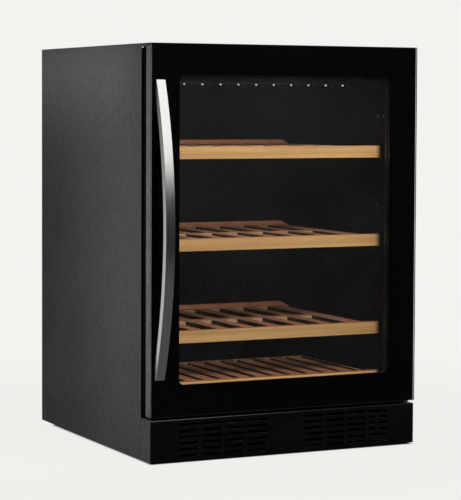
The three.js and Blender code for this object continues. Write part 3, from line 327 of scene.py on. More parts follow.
# %% Beech grain
grain, given, result = new_group(
    "beech_grain",
    [("Stretch", VECTOR, (3.0, 60.0, 60.0)), ("Light", COLOR, (0.6, 0.35, 0.14, 1)),
     ("Dark", COLOR, (0.4, 0.2, 0.07, 1)), ("Fleck", FLOAT, 0.3)],
    [("Color", COLOR), ("Height", FLOAT), ("Roughness", FLOAT)])
along = add_node(grain, "VectorMath", {
    0: object_place(grain), 1: given["Stretch"]}, operation="MULTIPLY").outputs[0]
bands = noise(grain, along, 1.0, 5.0, 0.55, 0.4)
pores = noise(grain, along, 9.0, 3.0, 0.7)
board = noise(grain, object_place(grain), 4.0, 2.0)
tone = math_node(grain, "ADD", product(grain, ramp(grain, bands, 0.32, 0.68), 0.65),
                 product(grain, board, 0.35))
color = mix_colors(grain, tone, given["Light"], given["Dark"])
fleck = product(grain, ramp(grain, pores, 0.55, 0.72), given["Fleck"])
color = mix_colors(grain, fleck, color, given["Dark"], "MULTIPLY")
grain.links.new(color, result["Color"])
grain.links.new(pores, result["Height"])
grain.links.new(ramp(grain, pores, 0.3, 0.7, 0.42, 0.6), result["Roughness"])
print("groups:", ", ".join(sorted(group.name for group in bpy.data.node_groups)))

# %% [markdown]
# ## Finishes
#
# One helper starts every finish from the same shader with its plain values, and another adds a height
# map as fine bumps. Then each finish is a few lines: which groups it uses, and how strongly.


# %% Starting a finish
def start_finish(name, **plain):
    material = bpy.data.materials.new(name)
    material.use_nodes = True
    tree = material.node_tree
    shader = tree.nodes["Principled BSDF"]
    for key, value in plain.items():
        shader.inputs[key.replace("_", " ").title().replace("Ior", "IOR")].default_value = value
    return material, tree, shader


def use_group(tree, group, **values):
    node = add_node(tree, "Group", node_tree=group)
    for key, value in values.items():
        node.inputs[key].default_value = value
    return node.outputs


def color_and_sheen(tree, shader, color, roughness):
    tree.links.new(color, shader.inputs["Base Color"])
    tree.links.new(roughness, shader.inputs["Roughness"])


def brighter(color, factor):
    return tuple(min(1, factor * part) for part in color[:3]) + (1,)


def bumpy(tree, shader, height, distance, strength=1.0):
    bump = add_node(tree, "Bump", {"Height": height, "Distance": distance, "Strength": strength})
    tree.links.new(bump.outputs["Normal"], shader.inputs["Normal"])


def moulded(name, color, lighter, clean, dull, scale=700.0, depth=0.00004, gloss=0.5):
    """A finish with a fine skin, slightly uneven colour, patches of handling and a painted highlight along
    its edges.
    """
    material, tree, shader = start_finish(name, specular_ior_level=gloss)
    surface = use_group(tree, skin, Scale=scale)
    touched = use_group(tree, wear, Clean=clean, Dull=dull)
    edges = use_group(tree, edge_highlight, Strength=0.35)
    tone = mix_colors(tree, surface["Shade"], color, lighter)
    # Painted highlight: the edges take a much paler grey.
    tone = mix_colors(tree, edges["Mask"], tone, brighter(lighter, 2.2))
    color_and_sheen(tree, shader, tone, touched["Roughness"])
    bumpy(tree, shader, surface["Height"], depth)
    return material


def metal(name, color, other, clean, dull, stretch, depth=0.00002):
    """Bare or plated metal with the lines of its last tool."""
    material, tree, shader = start_finish(name, metallic=1.0)
    marks = use_group(tree, brushed, Stretch=stretch, Clean=clean, Dull=dull)
    stains = use_group(tree, wear, Scale=9.0)
    tone = mix_colors(tree, marks["Shade"], color, other)
    tone = mix_colors(tree, product(tree, stains["Mask"], 0.1), tone, other)
    color_and_sheen(tree, shader, tone, marks["Roughness"])
    bumpy(tree, shader, marks["Height"], depth, 0.6)
    return material


def beech(name, light, dark, fleck, stretch, front_light_tint=None, light_by_height=False):
    """Oiled wood whose grain runs along the piece's length; a redder, brighter tint towards the front can be
    painted on as painted light, where more light reaches the slats.

    The boards can also be painted paler or darker by their height: painted light and shade, for how much
    light reaches each shelf.
    """
    material, tree, shader = start_finish(name)
    wood = use_group(tree, grain, Stretch=stretch, Light=light, Dark=dark, Fleck=fleck)
    tone = wood["Color"]
    if front_light_tint:
        tone = mix_colors(tree, ramp(tree, along_axis(tree, "Y"), -0.08, -0.19, 0, 0.8), tone, front_light_tint)
    if light_by_height:
        height = along_axis(tree, "Z")
        upper = math_node(tree, "ADD", ramp(tree, height, 0.30, 0.38, 0.0, 0.09),
                          ramp(tree, height, 0.50, 0.58, 0.0, 0.21))
        pale = math_node(tree, "ADD", ramp(tree, height, 0.17, 0.20, 1.26, 0.84), upper)
        tone = add_node(tree, "VectorMath", {0: tone, "Scale": pale}, operation="SCALE").outputs[0]
    color_and_sheen(tree, shader, tone, wood["Roughness"])
    bumpy(tree, shader, wood["Height"], 0.00012, 0.5)
    return material


# %% [markdown]
# ### Paint, plastic and rubber
#
# The sheet steel is sprayed with a satin dark grey, which has a faint orange peel. The liner is moulded
# plastic of a softer sheen, and the caps and vents are a blacker one. The seal is matt rubber with a dull
# bloom. The print on the back of the glass is a deep gloss black, because the glass in front of it is
# polished.

# %% Paint, plastic, rubber and foam
GREY_PAINT = moulded("grey_paint", (0.031, 0.0308, 0.0304, 1), (0.0345, 0.0342, 0.0338, 1), 0.46, 0.54,
                     gloss=0.08)
# The door's paint is the side panel's grey made paler: painted light, so that the door's narrow side, which
# gets less light, looks as bright as the side panel.
DOOR_PAINT_LIGHTENED = moulded("door_paint_lightened", (0.055, 0.0547, 0.0541, 1), (0.062, 0.0616, 0.061, 1), 0.42, 0.5,
                     gloss=0.12)
SHELL_PAINT = moulded("shell_paint", (0.012, 0.012, 0.013, 1), (0.02, 0.02, 0.021, 1), 0.28, 0.42, 260.0)
FRAME_PLASTIC = moulded("frame_plastic", (0.008, 0.008, 0.0083, 1), (0.011, 0.011, 0.0113, 1), 0.36, 0.5)
CAP_PLASTIC = moulded("cap_plastic", (0.010, 0.010, 0.011, 1), (0.014, 0.014, 0.015, 1), 0.3, 0.45)
TRAY_PLASTIC = moulded("tray_plastic", (0.55, 0.55, 0.53, 1), (0.62, 0.62, 0.60, 1), 0.35, 0.5)
VENT_PLASTIC = moulded("vent_plastic", grey(0.0014), grey(0.0018), 0.3, 0.42, gloss=0.12)
# A pale grey for painted highlights and reflections: the vents' lower lips, and the clip heads beside the
# lamp lenses.
GLINT_PLASTIC = moulded("painted_glint", grey(0.14), grey(0.18), 0.3, 0.4)
SPACER_PLASTIC = moulded("spacer_plastic", grey(0.022), grey(0.027), 0.5, 0.7, gloss=0.2)
MOUTH_PLASTIC = moulded("mouth_plastic", grey(0.010), grey(0.013), 0.4, 0.5)
PLUG_PLASTIC = moulded("plug_plastic", grey(0.03), grey(0.04), 0.4, 0.5)
SHADOW_PLASTIC = moulded("shadow_plastic", grey(0.0012), grey(0.002), 0.5, 0.7, gloss=0.03)
LINER = moulded("liner_plastic", (0.0045, 0.0045, 0.0044, 1), (0.006, 0.006, 0.0058, 1), 0.45, 0.6,
                gloss=0.15)
RUBBER = moulded("seal_rubber", grey(0.003), grey(0.005), 0.6, 0.8, 900.0, gloss=0.15)
FOAM = moulded("body_foam", (0.62, 0.52, 0.28, 1), (0.72, 0.63, 0.38, 1), 0.8, 0.95, 400.0, 0.0006)
PRINT = moulded("glass_print", grey(0.0008), grey(0.0011), 0.05, 0.09, 900.0, 0.000002)

# %% [markdown]
# Three pieces carry painted light and shade. The housing of the lamps is paler along the top of its front,
# a painted light over the shadow that the print's edge casts there. The liner's right wall is painted paler
# towards the floor and darker towards its top, as painted light and shade. The plinth's top edge carries a
# painted highlight that is brightest at the left. One finish does all three: its colour changes from one
# level of grey to another along an axis.


# %% Plastic that fades along one axis
def faded(name, axis, low, high, first, last, clean=0.45, dull=0.6, gloss=0.15):
    material, tree, shader = start_finish(name, specular_ior_level=gloss)
    touched = use_group(tree, wear, Clean=clean, Dull=dull)
    tone = mix_colors(tree, ramp(tree, along_axis(tree, axis), low, high), grey(first), grey(last))
    color_and_sheen(tree, shader, tone, touched["Roughness"])
    return material


HOUSING_LIT_TOP = faded("housing_lit_top", "Z", 0.749, 0.759, 0.0055, 0.075)
LINER_SIDE_LIGHT_AND_SHADE = faded("liner_side_light_and_shade", "Z", 0.28, 0.60, 0.016, 0.0017)
PLINTH_EDGE_GLINT = faded("plinth_edge_glint", "X", -0.29, 0.12, 0.08, 0.007, 0.3, 0.42, 0.3)

# %% [markdown]
# ### Metals
#
# The handle is stainless steel with a satin brush along its length. Brackets and the base pan are zinc
# plated, the fins are aluminium, and the pipes copper.

# %% Metals
STEEL = metal("satin_steel", (0.88, 0.87, 0.855, 1), (0.81, 0.80, 0.79, 1), 0.17, 0.23, (700, 700, 5),
              0.000006)
ZINC = metal("zinc_plate", (0.50, 0.51, 0.52, 1), (0.38, 0.39, 0.40, 1), 0.3, 0.5, (60, 60, 60))
ALUMINIUM = metal("fin_aluminium", (0.62, 0.63, 0.64, 1), (0.5, 0.51, 0.52, 1), 0.25, 0.4, (300, 300, 12))
COPPER = metal("pipe_copper", (0.62, 0.30, 0.17, 1), (0.42, 0.19, 0.11, 1), 0.22, 0.42, (80, 80, 80))

# %% [markdown]
# ### Beech
#
# The front boards are light oiled beech with the grain along the board. The slats behind them are
# stained darker, and their grain runs front to back. The grain is noise stretched along one axis of the
# piece, so the same group serves both with a different stretch.

# %% Beech
ALONG_BOARD = (2.2, 90.0, 150.0)
ALONG_SLAT = (90.0, 2.6, 90.0)
BEECH_FRONT = beech("beech_front", (0.74, 0.44, 0.175, 1), (0.47, 0.245, 0.085, 1), 0.5, ALONG_BOARD,
                    light_by_height=True)
BEECH_SLATS = beech("beech_slats", (0.47, 0.24, 0.13, 1), (0.30, 0.14, 0.075, 1), 0.4, ALONG_SLAT,
                    front_light_tint=(0.60, 0.20, 0.10, 1))
BEECH_TOP_SHADED = beech("beech_top_shaded", (0.50, 0.24, 0.12, 1), (0.36, 0.15, 0.075, 1), 0.4, ALONG_BOARD)
BEECH_LIT_FRONTS = beech("beech_painted_light", (0.50, 0.31, 0.165, 1), (0.38, 0.22, 0.11, 1), 0.3, ALONG_BOARD)
BEECH_SHADED_DARK = beech("beech_painted_shade", (0.035, 0.02, 0.015, 1), (0.02, 0.012, 0.009, 1), 0.2, ALONG_SLAT)
BEECH_REAR = beech("beech_rear", (0.60, 0.27, 0.145, 1), (0.42, 0.155, 0.085, 1), 0.4, ALONG_BOARD)

# %% [markdown]
# ### Glass and lamps
#
# The panes are clear glass. A thin pane bends light so little that a nearly clear alpha does its work, and
# light then reaches the shelves behind it. Alpha grows where the pane is seen at a flat angle, as its
# gloss does, and it also grows towards the top left. The lamp strip's lens domes glow.


# %% Glass and lamps
def pane(name, haze, edge_haze, tint):
    material, tree, shader = start_finish(name, specular_ior_level=0.5, ior=1.5)
    smudge = use_group(tree, wear, Scale=5.0, Clean=0.02, Dull=0.07)
    facing = add_node(tree, "Fresnel", {"IOR": 1.35}).outputs[0]
    top_left_haze = product(tree, ramp(tree, along_axis(tree, "Z"), 0.2, 0.8, 0.0, haze * 1.5),
                      ramp(tree, along_axis(tree, "X"), -0.02, 0.22, 1.0, 0.1))
    film = product(tree, smudge["Mask"], haze * 0.25)
    film = math_node(tree, "ADD", film, top_left_haze)
    clear = ramp(tree, facing, 0.0, 0.5, haze, edge_haze)
    tree.links.new(math_node(tree, "ADD", clear, film, clamp=True), shader.inputs["Alpha"])
    tone = mix_colors(tree, smudge["Mask"], tint, brighter(tint, 1.3))
    color_and_sheen(tree, shader, tone, smudge["Roughness"])
    return material


OUTER_PANE = pane("outer_pane", 0.02, 0.5, grey(0.004))
INNER_PANE = pane("inner_pane", 0.02, 0.3, (0.10, 0.10, 0.099, 1))

LENS, tree, shader = start_finish("lamp_lens", roughness=0.2, emission_strength=0.8)
sparkle = add_node(tree, "TexVoronoi", {"Vector": object_place(tree), "Scale": 700.0})
glow = mix_colors(tree, ramp(tree, sparkle.outputs["Distance"], 0.1, 0.6), (1, 1, 1, 1), (0.7, 0.74, 0.8, 1))
tree.links.new(glow, shader.inputs["Emission Color"])
tree.links.new(glow, shader.inputs["Base Color"])
BOARD = moulded("lamp_board", (0.055, 0.055, 0.058, 1), (0.07, 0.07, 0.073, 1), 0.4, 0.6)
print("finishes:", len(bpy.data.materials))

# %% [markdown]
# ## Making pieces
#
# Most pieces are folded sheet, moulded plastic or milled wood: flat faces whose edges are never quite
# sharp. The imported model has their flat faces, so a copy is merged, its flat regions are joined, and its
# edges are bevelled by the radius the real process leaves. A Weighted Normal modifier then keeps the flats
# flat while the small bevels catch the light.


# %% Copy, merge and bevel
def merged_copy(name):
    bm = bmesh.new()
    bm.from_mesh(nodes[name].data)
    bmesh.ops.remove_doubles(bm, verts=bm.verts, dist=0.01 * MM)
    bmesh.ops.dissolve_limit(bm, angle_limit=math.radians(0.5), verts=bm.verts, edges=bm.edges)
    return bm


def sharp_edges(bm, degrees=30, along=None, where=None):
    limit = math.radians(degrees)
    found = []
    for edge in bm.edges:
        if len(edge.link_faces) != 2 or edge.calc_face_angle(0) < limit:
            continue
        line = (edge.verts[1].co - edge.verts[0].co).normalized()
        if along is not None and abs(line[along]) < 0.99:
            continue
        if where is not None and not where((edge.verts[0].co + edge.verts[1].co) / 2):
            continue
        found.append(edge)
    return found


def bevel(bm, edges, width, segments=2):
    bmesh.ops.bevel(bm, geom=edges, offset=width * MM, offset_type="OFFSET", segments=segments,
                    profile=0.5, affect="EDGES", clamp_overlap=True, material=-1)


def eased(name, width, segments=2, degrees=30):
    """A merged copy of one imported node, with its sharp edges rounded."""
    bm = merged_copy(name)
    bevel(bm, sharp_edges(bm, degrees), width, segments)
    return bm


def finished_piece(bm, name, like, materials, hides=(), smooth=True):
    """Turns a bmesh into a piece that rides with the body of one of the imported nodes."""
    mesh = bpy.data.meshes.new(name)
    for face in bm.faces:
        face.smooth = smooth
    bm.to_mesh(mesh)
    bm.free()
    for material in materials if isinstance(materials, (list, tuple)) else [materials]:
        mesh.materials.append(material)
    piece = bpy.data.objects.new(name, mesh)
    bpy.context.scene.collection.objects.link(piece)
    if smooth:
        weighted = piece.modifiers.new("even_normals", "WEIGHTED_NORMAL")
        weighted.weight = 60
        weighted.keep_sharp = True
    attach(piece, body_of(nodes[like])[0])
    if hides:
        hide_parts(*hides)
    return piece


def in_place_of(name, bm, materials, smooth=True):
    """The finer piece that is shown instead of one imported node."""
    return finished_piece(bm, name + "_fine", name, materials, [name], smooth)


def softened(name, slot, material, *rounding):
    in_place_of(name, eased(name, *rounding), material)


def painted_where(bm, index, test):
    """Gives the faces that pass the test another of the piece's materials."""
    for face in bm.faces:
        if test(face.normal, face.calc_center_median()):
            face.material_index = index


def split(bm, place, normal, clear=False):
    """Cuts the faces along a plane; with clear, what lies on the normal's side goes."""
    bmesh.ops.bisect_plane(bm, geom=bm.verts[:] + bm.edges[:] + bm.faces[:], dist=0.001 * MM,
                           plane_co=place, plane_no=normal, clear_outer=clear)


def outward(bm):
    bmesh.ops.recalc_face_normals(bm, faces=bm.faces)


def block(bm, low, high):
    """A block between two corners, as a start for bevels and insets."""
    low, high = Vector(low), Vector(high)
    made = bmesh.ops.create_cube(bm, size=1.0)["verts"]
    bmesh.ops.scale(bm, vec=high - low, verts=made)
    bmesh.ops.translate(bm, vec=(low + high) / 2, verts=made)
    return made


# %% Turned and swept shapes
def lathe(bm, profile, place, axis="Z", steps=32):
    """Spins a profile of (radius, height) points, in mm, about an axis through place."""
    turn = {"X": Matrix.Rotation(math.pi / 2, 4, "Y"), "Y": Matrix.Rotation(-math.pi / 2, 4, "X"),
            "Z": Matrix.Identity(4)}[axis]
    part = bmesh.new()
    line = [part.verts.new((radius * MM, 0, height * MM)) for radius, height in profile]
    edges = [part.edges.new(pair) for pair in zip(line, line[1:])]
    bmesh.ops.spin(part, geom=line + edges, cent=(0, 0, 0), axis=(0, 0, 1), angle=2 * math.pi,
                   steps=steps, use_merge=True)
    bmesh.ops.remove_doubles(part, verts=part.verts, dist=0.002 * MM)
    outward(part)
    bmesh.ops.transform(part, matrix=Matrix.Translation(place) @ turn, verts=part.verts)
    mesh = bpy.data.meshes.new("turned")
    part.to_mesh(mesh)
    part.free()
    bm.from_mesh(mesh)
    bpy.data.meshes.remove(mesh)


def pipe(bm, path, radius, sides=10):
    """A round pipe along a path of points, closed at both ends."""
    rings = []
    across = None
    for number, point in enumerate(path):
        along = (path[min(number + 1, len(path) - 1)] - path[max(number - 1, 0)]).normalized()
        across = along.orthogonal() if across is None else across - along * across.dot(along)
        across.normalize()
        other = along.cross(across)
        angles = [2 * math.pi * side / sides for side in range(sides)]
        rings.append([bm.verts.new(point + radius * MM * (across * math.cos(a) + other * math.sin(a)))
                      for a in angles])
    for first, second in zip(rings, rings[1:]):
        for side in range(sides):
            after = (side + 1) % sides
            bm.faces.new((first[side], first[after], second[after], second[side]))
    bm.faces.new(rings[0][::-1])
    bm.faces.new(rings[-1])


def rounded_path(points, radius, steps=5):
    """A path of straight runs, in metres, whose corners are rounded by a radius in mm."""
    points = [Vector(point) for point in points]
    path = [points[0]]
    for before, corner, after in zip(points, points[1:], points[2:]):
        first = corner + (before - corner).normalized() * radius * MM
        last = corner + (after - corner).normalized() * radius * MM
        for step in range(steps + 1):
            share = step / steps
            path.append(first.lerp(corner, share).lerp(corner.lerp(last, share), share))
    path.append(points[-1])
    return path


SCREW_HEAD = [(0, 0.0), (1.1, 0.0), (1.15, 0.5), (2.6, 0.55), (3.2, 0.3), (3.4, -0.2), (0, -0.2)]


def screws(like, places, axis, size=1.0):
    """A set of plated pan heads with a socket, whose tops face along the axis."""
    bm = bmesh.new()
    for place in places:
        lathe(bm, [(size * radius, size * height) for radius, height in SCREW_HEAD], place, axis, 20)
    finished_piece(bm, like + "_screws", like, ZINC)


# %% [markdown]
# ## The cabinet
#
# Side, top and back are thin sheet steel with a folded edge of about half a millimetre. The front frame
# is a plastic moulding that carries the seal, with a slightly larger radius. The trim strip on top hides
# the gap above the seal.

# %% Outer skin
for name, width in (("left_side_panel", 0.45), ("right_side_panel", 0.45), ("top_panel", 0.45),
                    ("top_trim", 0.9)):
    softened(name, "painted_steel", GREY_PAINT, width)
mouth = eased("front_frame", 1.6, 3)
low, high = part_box("door_gasket")
LIP = 9 * MM                      # the mouth shows this far inside the seal
for place, normal in (((0, 0, high.z - LIP), (0, 0, 1)), ((0, 0, low.z + LIP), (0, 0, 1)),
                      ((high.x - LIP, 0, 0), (1, 0, 0)), ((low.x + LIP, 0, 0), (1, 0, 0))):
    split(mouth, place, normal)
painted_where(mouth, 1, lambda normal, place: abs(place.x) < high.x - LIP
              and low.z + LIP < place.z < high.z - LIP)
in_place_of("front_frame", mouth, [SHADOW_PLASTIC, MOUTH_PLASTIC])
base = eased("bottom_panel", 0.5)
low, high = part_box("bottom_panel")
# The front of the bottom panel is near-black shadow plastic: painted shade behind the vents.
painted_where(base, 1, lambda normal, place: place.y < low.y + 40 * MM)
in_place_of("bottom_panel", base, [ZINC, SHADOW_PLASTIC])

# %% [markdown]
# Foam fills the walls. Its front faces, behind the folded side panels and the front frame, carry a black
# edge moulding that closes the wall, so no foam shows there. Its near-black is also painted shade, for the
# gap that the door shades.

# %% Foam and its edge moulding
low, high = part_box("insulation")
foam = merged_copy("insulation")
painted_where(foam, 1, lambda normal, place: normal.y < -0.99 and place.y < low.y + MM)
in_place_of("insulation", foam, [FOAM, SHADOW_PLASTIC], smooth=False)
print("outer skin done")

# %% [markdown]
# ## The liner
#
# The liner is drawn from one plastic sheet, so its inside corners are rounded. Only the long edges inside
# the box are rounded here; the lip that clips behind the front frame stays crisp.

# %% Liner, duct and lamp housing
liner = merged_copy("inner_liner")
low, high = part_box("inner_liner")
bevel(liner, sharp_edges(liner, where=lambda place: low.y + 5 * MM < place.y), 4.0, 3)
# The liner's right wall takes the finish that is paler towards the floor and darker towards its top: painted
# light and shade.
painted_where(liner, 1, lambda normal, place: normal.x < -0.8 and abs(place.x) < high.x - 0.5 * MM)
in_place_of("inner_liner", liner, [LINER, LINER_SIDE_LIGHT_AND_SHADE])
housing = eased("light_housing", 2.2, 3)
# The housing's front takes the finish that is paler towards its top: painted light over the shadow that the
# print's edge casts.
painted_where(housing, 1, lambda normal, place: normal.y < -0.5)
in_place_of("light_housing", housing, [LINER, HOUSING_LIT_TOP])

duct = merged_copy("duct_cover")
low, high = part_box("duct_cover")
bevel(duct, sharp_edges(duct, along=1, where=lambda place: abs(place.x) < high.x - 3 * MM
                        and place.z < (low.z + high.z) / 2), 2.2, 3)
bevel(duct, sharp_edges(duct, 50), 0.3, 1)
in_place_of("duct_cover", duct, LINER)

# %% Fan ring and support plugs
fan_centre = sum(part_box("evaporator_fan_motor"), Vector()) / 2
ring = bmesh.new()
lathe(ring, [(33, 0), (33.4, -0.9), (36.6, -0.9), (37, 0), (33, 0)], (0, low.y, fan_centre.z), "Y", 48)
finished_piece(ring, "fan_ring", "duct_cover", LINER)
PLUG = [(0, 1.6), (3.4, 1.6), (4.2, 1.0), (4.4, 0), (0, 0)]
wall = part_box("inner_liner")[1].x - 1.6 * MM
plugs = bmesh.new()
for height in (0.678, 0.492, 0.309):
    for depth in (-0.190, -0.166):
        for side in (-1, 1):
            profile = [(radius, -side * rise) for radius, rise in PLUG]
            lathe(plugs, profile, (side * wall, depth, height), "X", 20)
finished_piece(plugs, "support_plugs", "inner_liner", PLUG_PLASTIC)

# %% [markdown]
# The lamp strip is a thin board under the housing, with ten small clear lenses in a row. Each lens is the
# lower part of a ball, cut level with the board. They share one mesh because they are one moulding. Beside
# each lens a small turned clip holds the board, and its pale head is a painted reflection: the spot where
# the double glazing shows each lens a second time.

# %% Lamp strip
LENS_COUNT = 10
LENS_PITCH = 40.2 * MM
LENS_RADIUS = 2.0 * MM
LENS_DROP = 1.2 * MM              # the ball's middle below the board
BOARD_THICKNESS = 2.5 * MM
CLIP_OFFSET = 14 * MM             # beside each lens
CLIP = [(0, -4.8), (1.9, -4.7), (2.4, -4.2), (2.2, -3.5), (0.8, -3.1), (0.8, 0), (0, 0)]
low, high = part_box("led_strip")
board_low = high.z - BOARD_THICKNESS
depth = (low.y + high.y) / 2
board = bmesh.new()
block(board, (low.x, low.y, board_low), high)
bevel(board, sharp_edges(board), 0.4, 2)
finished_piece(board, "lamp_board", "led_strip", BOARD, ["led_strip"])
lenses = bmesh.new()
glint_clips = bmesh.new()
for number in range(LENS_COUNT):
    across = (number - (LENS_COUNT - 1) / 2) * LENS_PITCH
    ball = bmesh.ops.create_uvsphere(lenses, u_segments=16, v_segments=12, radius=LENS_RADIUS)["verts"]
    bmesh.ops.translate(lenses, vec=(across, depth, board_low - LENS_DROP), verts=ball)
    lathe(glint_clips, CLIP, (across + CLIP_OFFSET, depth, board_low), "Z", 14)
split(lenses, (0, 0, board_low), (0, 0, 1), clear=True)
bmesh.ops.holes_fill(lenses, edges=[edge for edge in lenses.edges if edge.is_boundary], sides=0)
outward(lenses)
finished_piece(lenses, "lamp_lenses", "led_strip", LENS)
finished_piece(glint_clips, "lamp_clips_glint", "led_strip", GLINT_PLASTIC)
print("lenses:", LENS_COUNT)

# %% [markdown]
# ## The door
#
# The door is a sealed double pane in a painted frame. The outer sheet of glass covers the whole front;
# its edges are ground and polished to a small bevel. The frame behind it is painted where it shows from
# the side, and black where it shows through the window.

# %% Glass, frame, caps and seal
outer_glass = eased("outer_glass", 0.5)
painted_where(outer_glass, 1, lambda normal, place: normal.x < -0.8)
painted_where(outer_glass, 2, lambda normal, place: normal.x > 0.8)
in_place_of("outer_glass", outer_glass, [OUTER_PANE, DOOR_PAINT_LIGHTENED, SHADOW_PLASTIC])
softened("inner_glass", "clear_glass", INNER_PANE, 0.5)

# The print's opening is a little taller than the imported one, with the same round corners.
OPENING_TOP = (0.743, 0.760)      # heights between which its top edge and upper corners lie
border = merged_copy("glass_border")
for vert in border.verts:
    if OPENING_TOP[0] < vert.co.z < OPENING_TOP[1]:
        vert.co.z += 2 * MM
in_place_of("glass_border", border, PRINT, smooth=False)
nodes["glass_spacer"].data.materials.clear()
nodes["glass_spacer"].data.materials.append(SPACER_PLASTIC)

door_frame = eased("door_frame", 0.9)
low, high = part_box("door_frame")
painted_where(door_frame, 1, lambda normal, place: low.x + 2 * MM < place.x < high.x - 2 * MM)
painted_where(door_frame, 2, lambda normal, place: normal.y < -0.5 and place.x > high.x - 2 * MM)
in_place_of("door_frame", door_frame, [DOOR_PAINT_LIGHTENED, FRAME_PLASTIC, SHADOW_PLASTIC])
softened("door_top_cap", "black_plastic", CAP_PLASTIC, 0.6)
softened("door_bottom_cap", "black_plastic", CAP_PLASTIC, 1.0)

seal = merged_copy("door_gasket")
low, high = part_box("door_gasket")
outer = [face for face in seal.faces if abs(face.normal.y) < 0.5]
bmesh.ops.inset_region(seal, faces=outer, thickness=4 * MM, depth=0, use_even_offset=True)
bevel(seal, sharp_edges(seal), 1.2, 2)
painted_where(seal, 1, lambda normal, place: abs(place.x) > high.x - 3 * MM and abs(normal.y) < 0.9)
painted_where(seal, 2, lambda normal, place: place.z > high.z - 14 * MM
              and (normal.z < -0.3 or normal.y < -0.5))
in_place_of("door_gasket", seal, [RUBBER, SHADOW_PLASTIC, MOUTH_PLASTIC])

# %% [markdown]
# ### The handle
#
# The handle is a flat steel bar bent to a long bow whose ends sit on the glass. A bent bar is what a spin
# makes: the bar's section is turned about the centre of the bow, cut off at both ends and along the
# glass, and then its edges are rounded as a belt leaves them.

# %% Bow handle
low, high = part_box("door_handle")
BAR_THICKNESS = 14 * MM
END_STEP = 7.3 * MM            # how far each end's outer corner stands off the glass
half = (high.z - low.z) / 2
middle = (high.z + low.z) / 2
rise = high.y - low.y - END_STEP
bend = (half ** 2 + rise ** 2) / (2 * rise)
centre = Vector((0, low.y + bend, middle))
reach = math.asin(half / bend) + 0.03
handle = bmesh.new()
section = [handle.verts.new((x, y, middle)) for x, y in (
    (low.x, low.y), (high.x, low.y), (high.x, low.y + BAR_THICKNESS), (low.x, low.y + BAR_THICKNESS))]
loop = [handle.edges.new((section[i], section[(i + 1) % 4])) for i in range(4)]
bmesh.ops.rotate(handle, cent=centre, matrix=Matrix.Rotation(-reach, 3, "X"), verts=handle.verts)
bmesh.ops.spin(handle, geom=section + loop, cent=centre, axis=(1, 0, 0), angle=2 * reach, steps=56,
               use_merge=False)


def trimmed(bm, place, normal):
    """Cuts a closed shape off at a plane and closes the cut."""
    split(bm, place, normal, clear=True)
    rim = [edge for edge in bm.edges if edge.is_boundary and all(
        abs((vert.co - Vector(place)).dot(Vector(normal))) < 0.01 * MM for vert in edge.verts)]
    bmesh.ops.edgeloop_fill(bm, edges=rim)


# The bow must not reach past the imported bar, so it is set back by a hair before it is cut.
bmesh.ops.translate(handle, vec=(0, 0.005 * MM, 0), verts=handle.verts)
trimmed(handle, (0, 0, low.z), (0, 0, -1))
trimmed(handle, (0, 0, high.z), (0, 0, 1))
split(handle, (0, high.y, 0), (0, 1, 0), clear=True)
open_edges = [edge for edge in handle.edges if edge.is_boundary]
print("open edges at the glass:", len(open_edges))
bmesh.ops.holes_fill(handle, edges=open_edges, sides=0)
outward(handle)
bevel(handle, sharp_edges(handle, 35), 0.7, 3)
finished_piece(handle, "bow_handle", "door_handle", STEEL, ["door_handle"])
print("bow radius", round(bend / MM), "mm")

# %% [markdown]
# ## The shelves
#
# Every shelf is a beech front board, a rack of slats and, on the sliding ones, a rear board that stops the
# bottles. The board's ends are rounded in plan, so they turn away from the light. The rack's slots are
# routed, which leaves round ends, and the top edges are eased so that a bottle does not catch.


# %% Front boards
def front_board(name):
    low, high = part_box(name)
    bm = bmesh.new()
    block(bm, low, high)
    front_corners = sharp_edges(bm, along=2, where=lambda place: place.y < (low.y + high.y) / 2)
    bevel(bm, front_corners, 15.0, 9)
    bevel(bm, sharp_edges(bm, 30), 1.4, 3)
    # The boards' tops take a darker, redder copy of the beech: painted shade.
    painted_where(bm, 1, lambda normal, place: normal.z > 0.7)
    in_place_of(name, bm, [BEECH_FRONT, BEECH_TOP_SHADED])


# %% Slatted racks
PLATE_HALF = 235 * MM           # half the slatted plate; beyond it are the runners


def slatted_rack(name, slot_radius):
    bm = merged_copy(name)
    low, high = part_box(name)
    inside = lambda place: (low.y + 3 * MM < place.y < high.y - 3 * MM
                            and abs(place.x) < PLATE_HALF - 4 * MM)
    bevel(bm, sharp_edges(bm, along=2, where=inside), slot_radius, 4)
    bevel(bm, sharp_edges(bm, 40), 1.6, 2)
    # Painted shade: the upright walls of the slots take a near-black beech, and so do the runners beyond the
    # plate.
    painted_where(bm, 1, lambda normal, place: (abs(normal.z) < 0.35 and abs(place.x) < PLATE_HALF - MM)
                  or abs(place.x) > PLATE_HALF + MM)
    # Painted light: the faces behind the board that look to the front take a paler beech.
    painted_where(bm, 2, lambda normal, place: normal.y < -0.75 and abs(normal.z) < 0.6
                  and place.y > low.y + 20 * MM and abs(place.x) < PLATE_HALF - MM)
    in_place_of(name, bm, [BEECH_SLATS, BEECH_SHADED_DARK, BEECH_LIT_FRONTS])


for number in (1, 2, 3):
    shelf = f"shelf_{number}_"
    front_board(shelf + "front_board")
    slatted_rack(shelf + "rack", 8.0)
    softened(shelf + "rear_board", "beech_slats", BEECH_REAR, 1.2, 2, 20)
    for side in ("left", "right"):
        softened(f"{shelf}{side}_rail", "black_plastic", CAP_PLASTIC, 0.35)
front_board("bottom_shelf_front_board")
slatted_rack("bottom_shelf_rack", 6.0)
print("shelves done")

# %% [markdown]
# ## Plinth
#
# The plinth is a moulded grille between painted returns. Its vents are slots with round ends, so the
# short upright edges of each slot are rounded first, by half the slot's height.

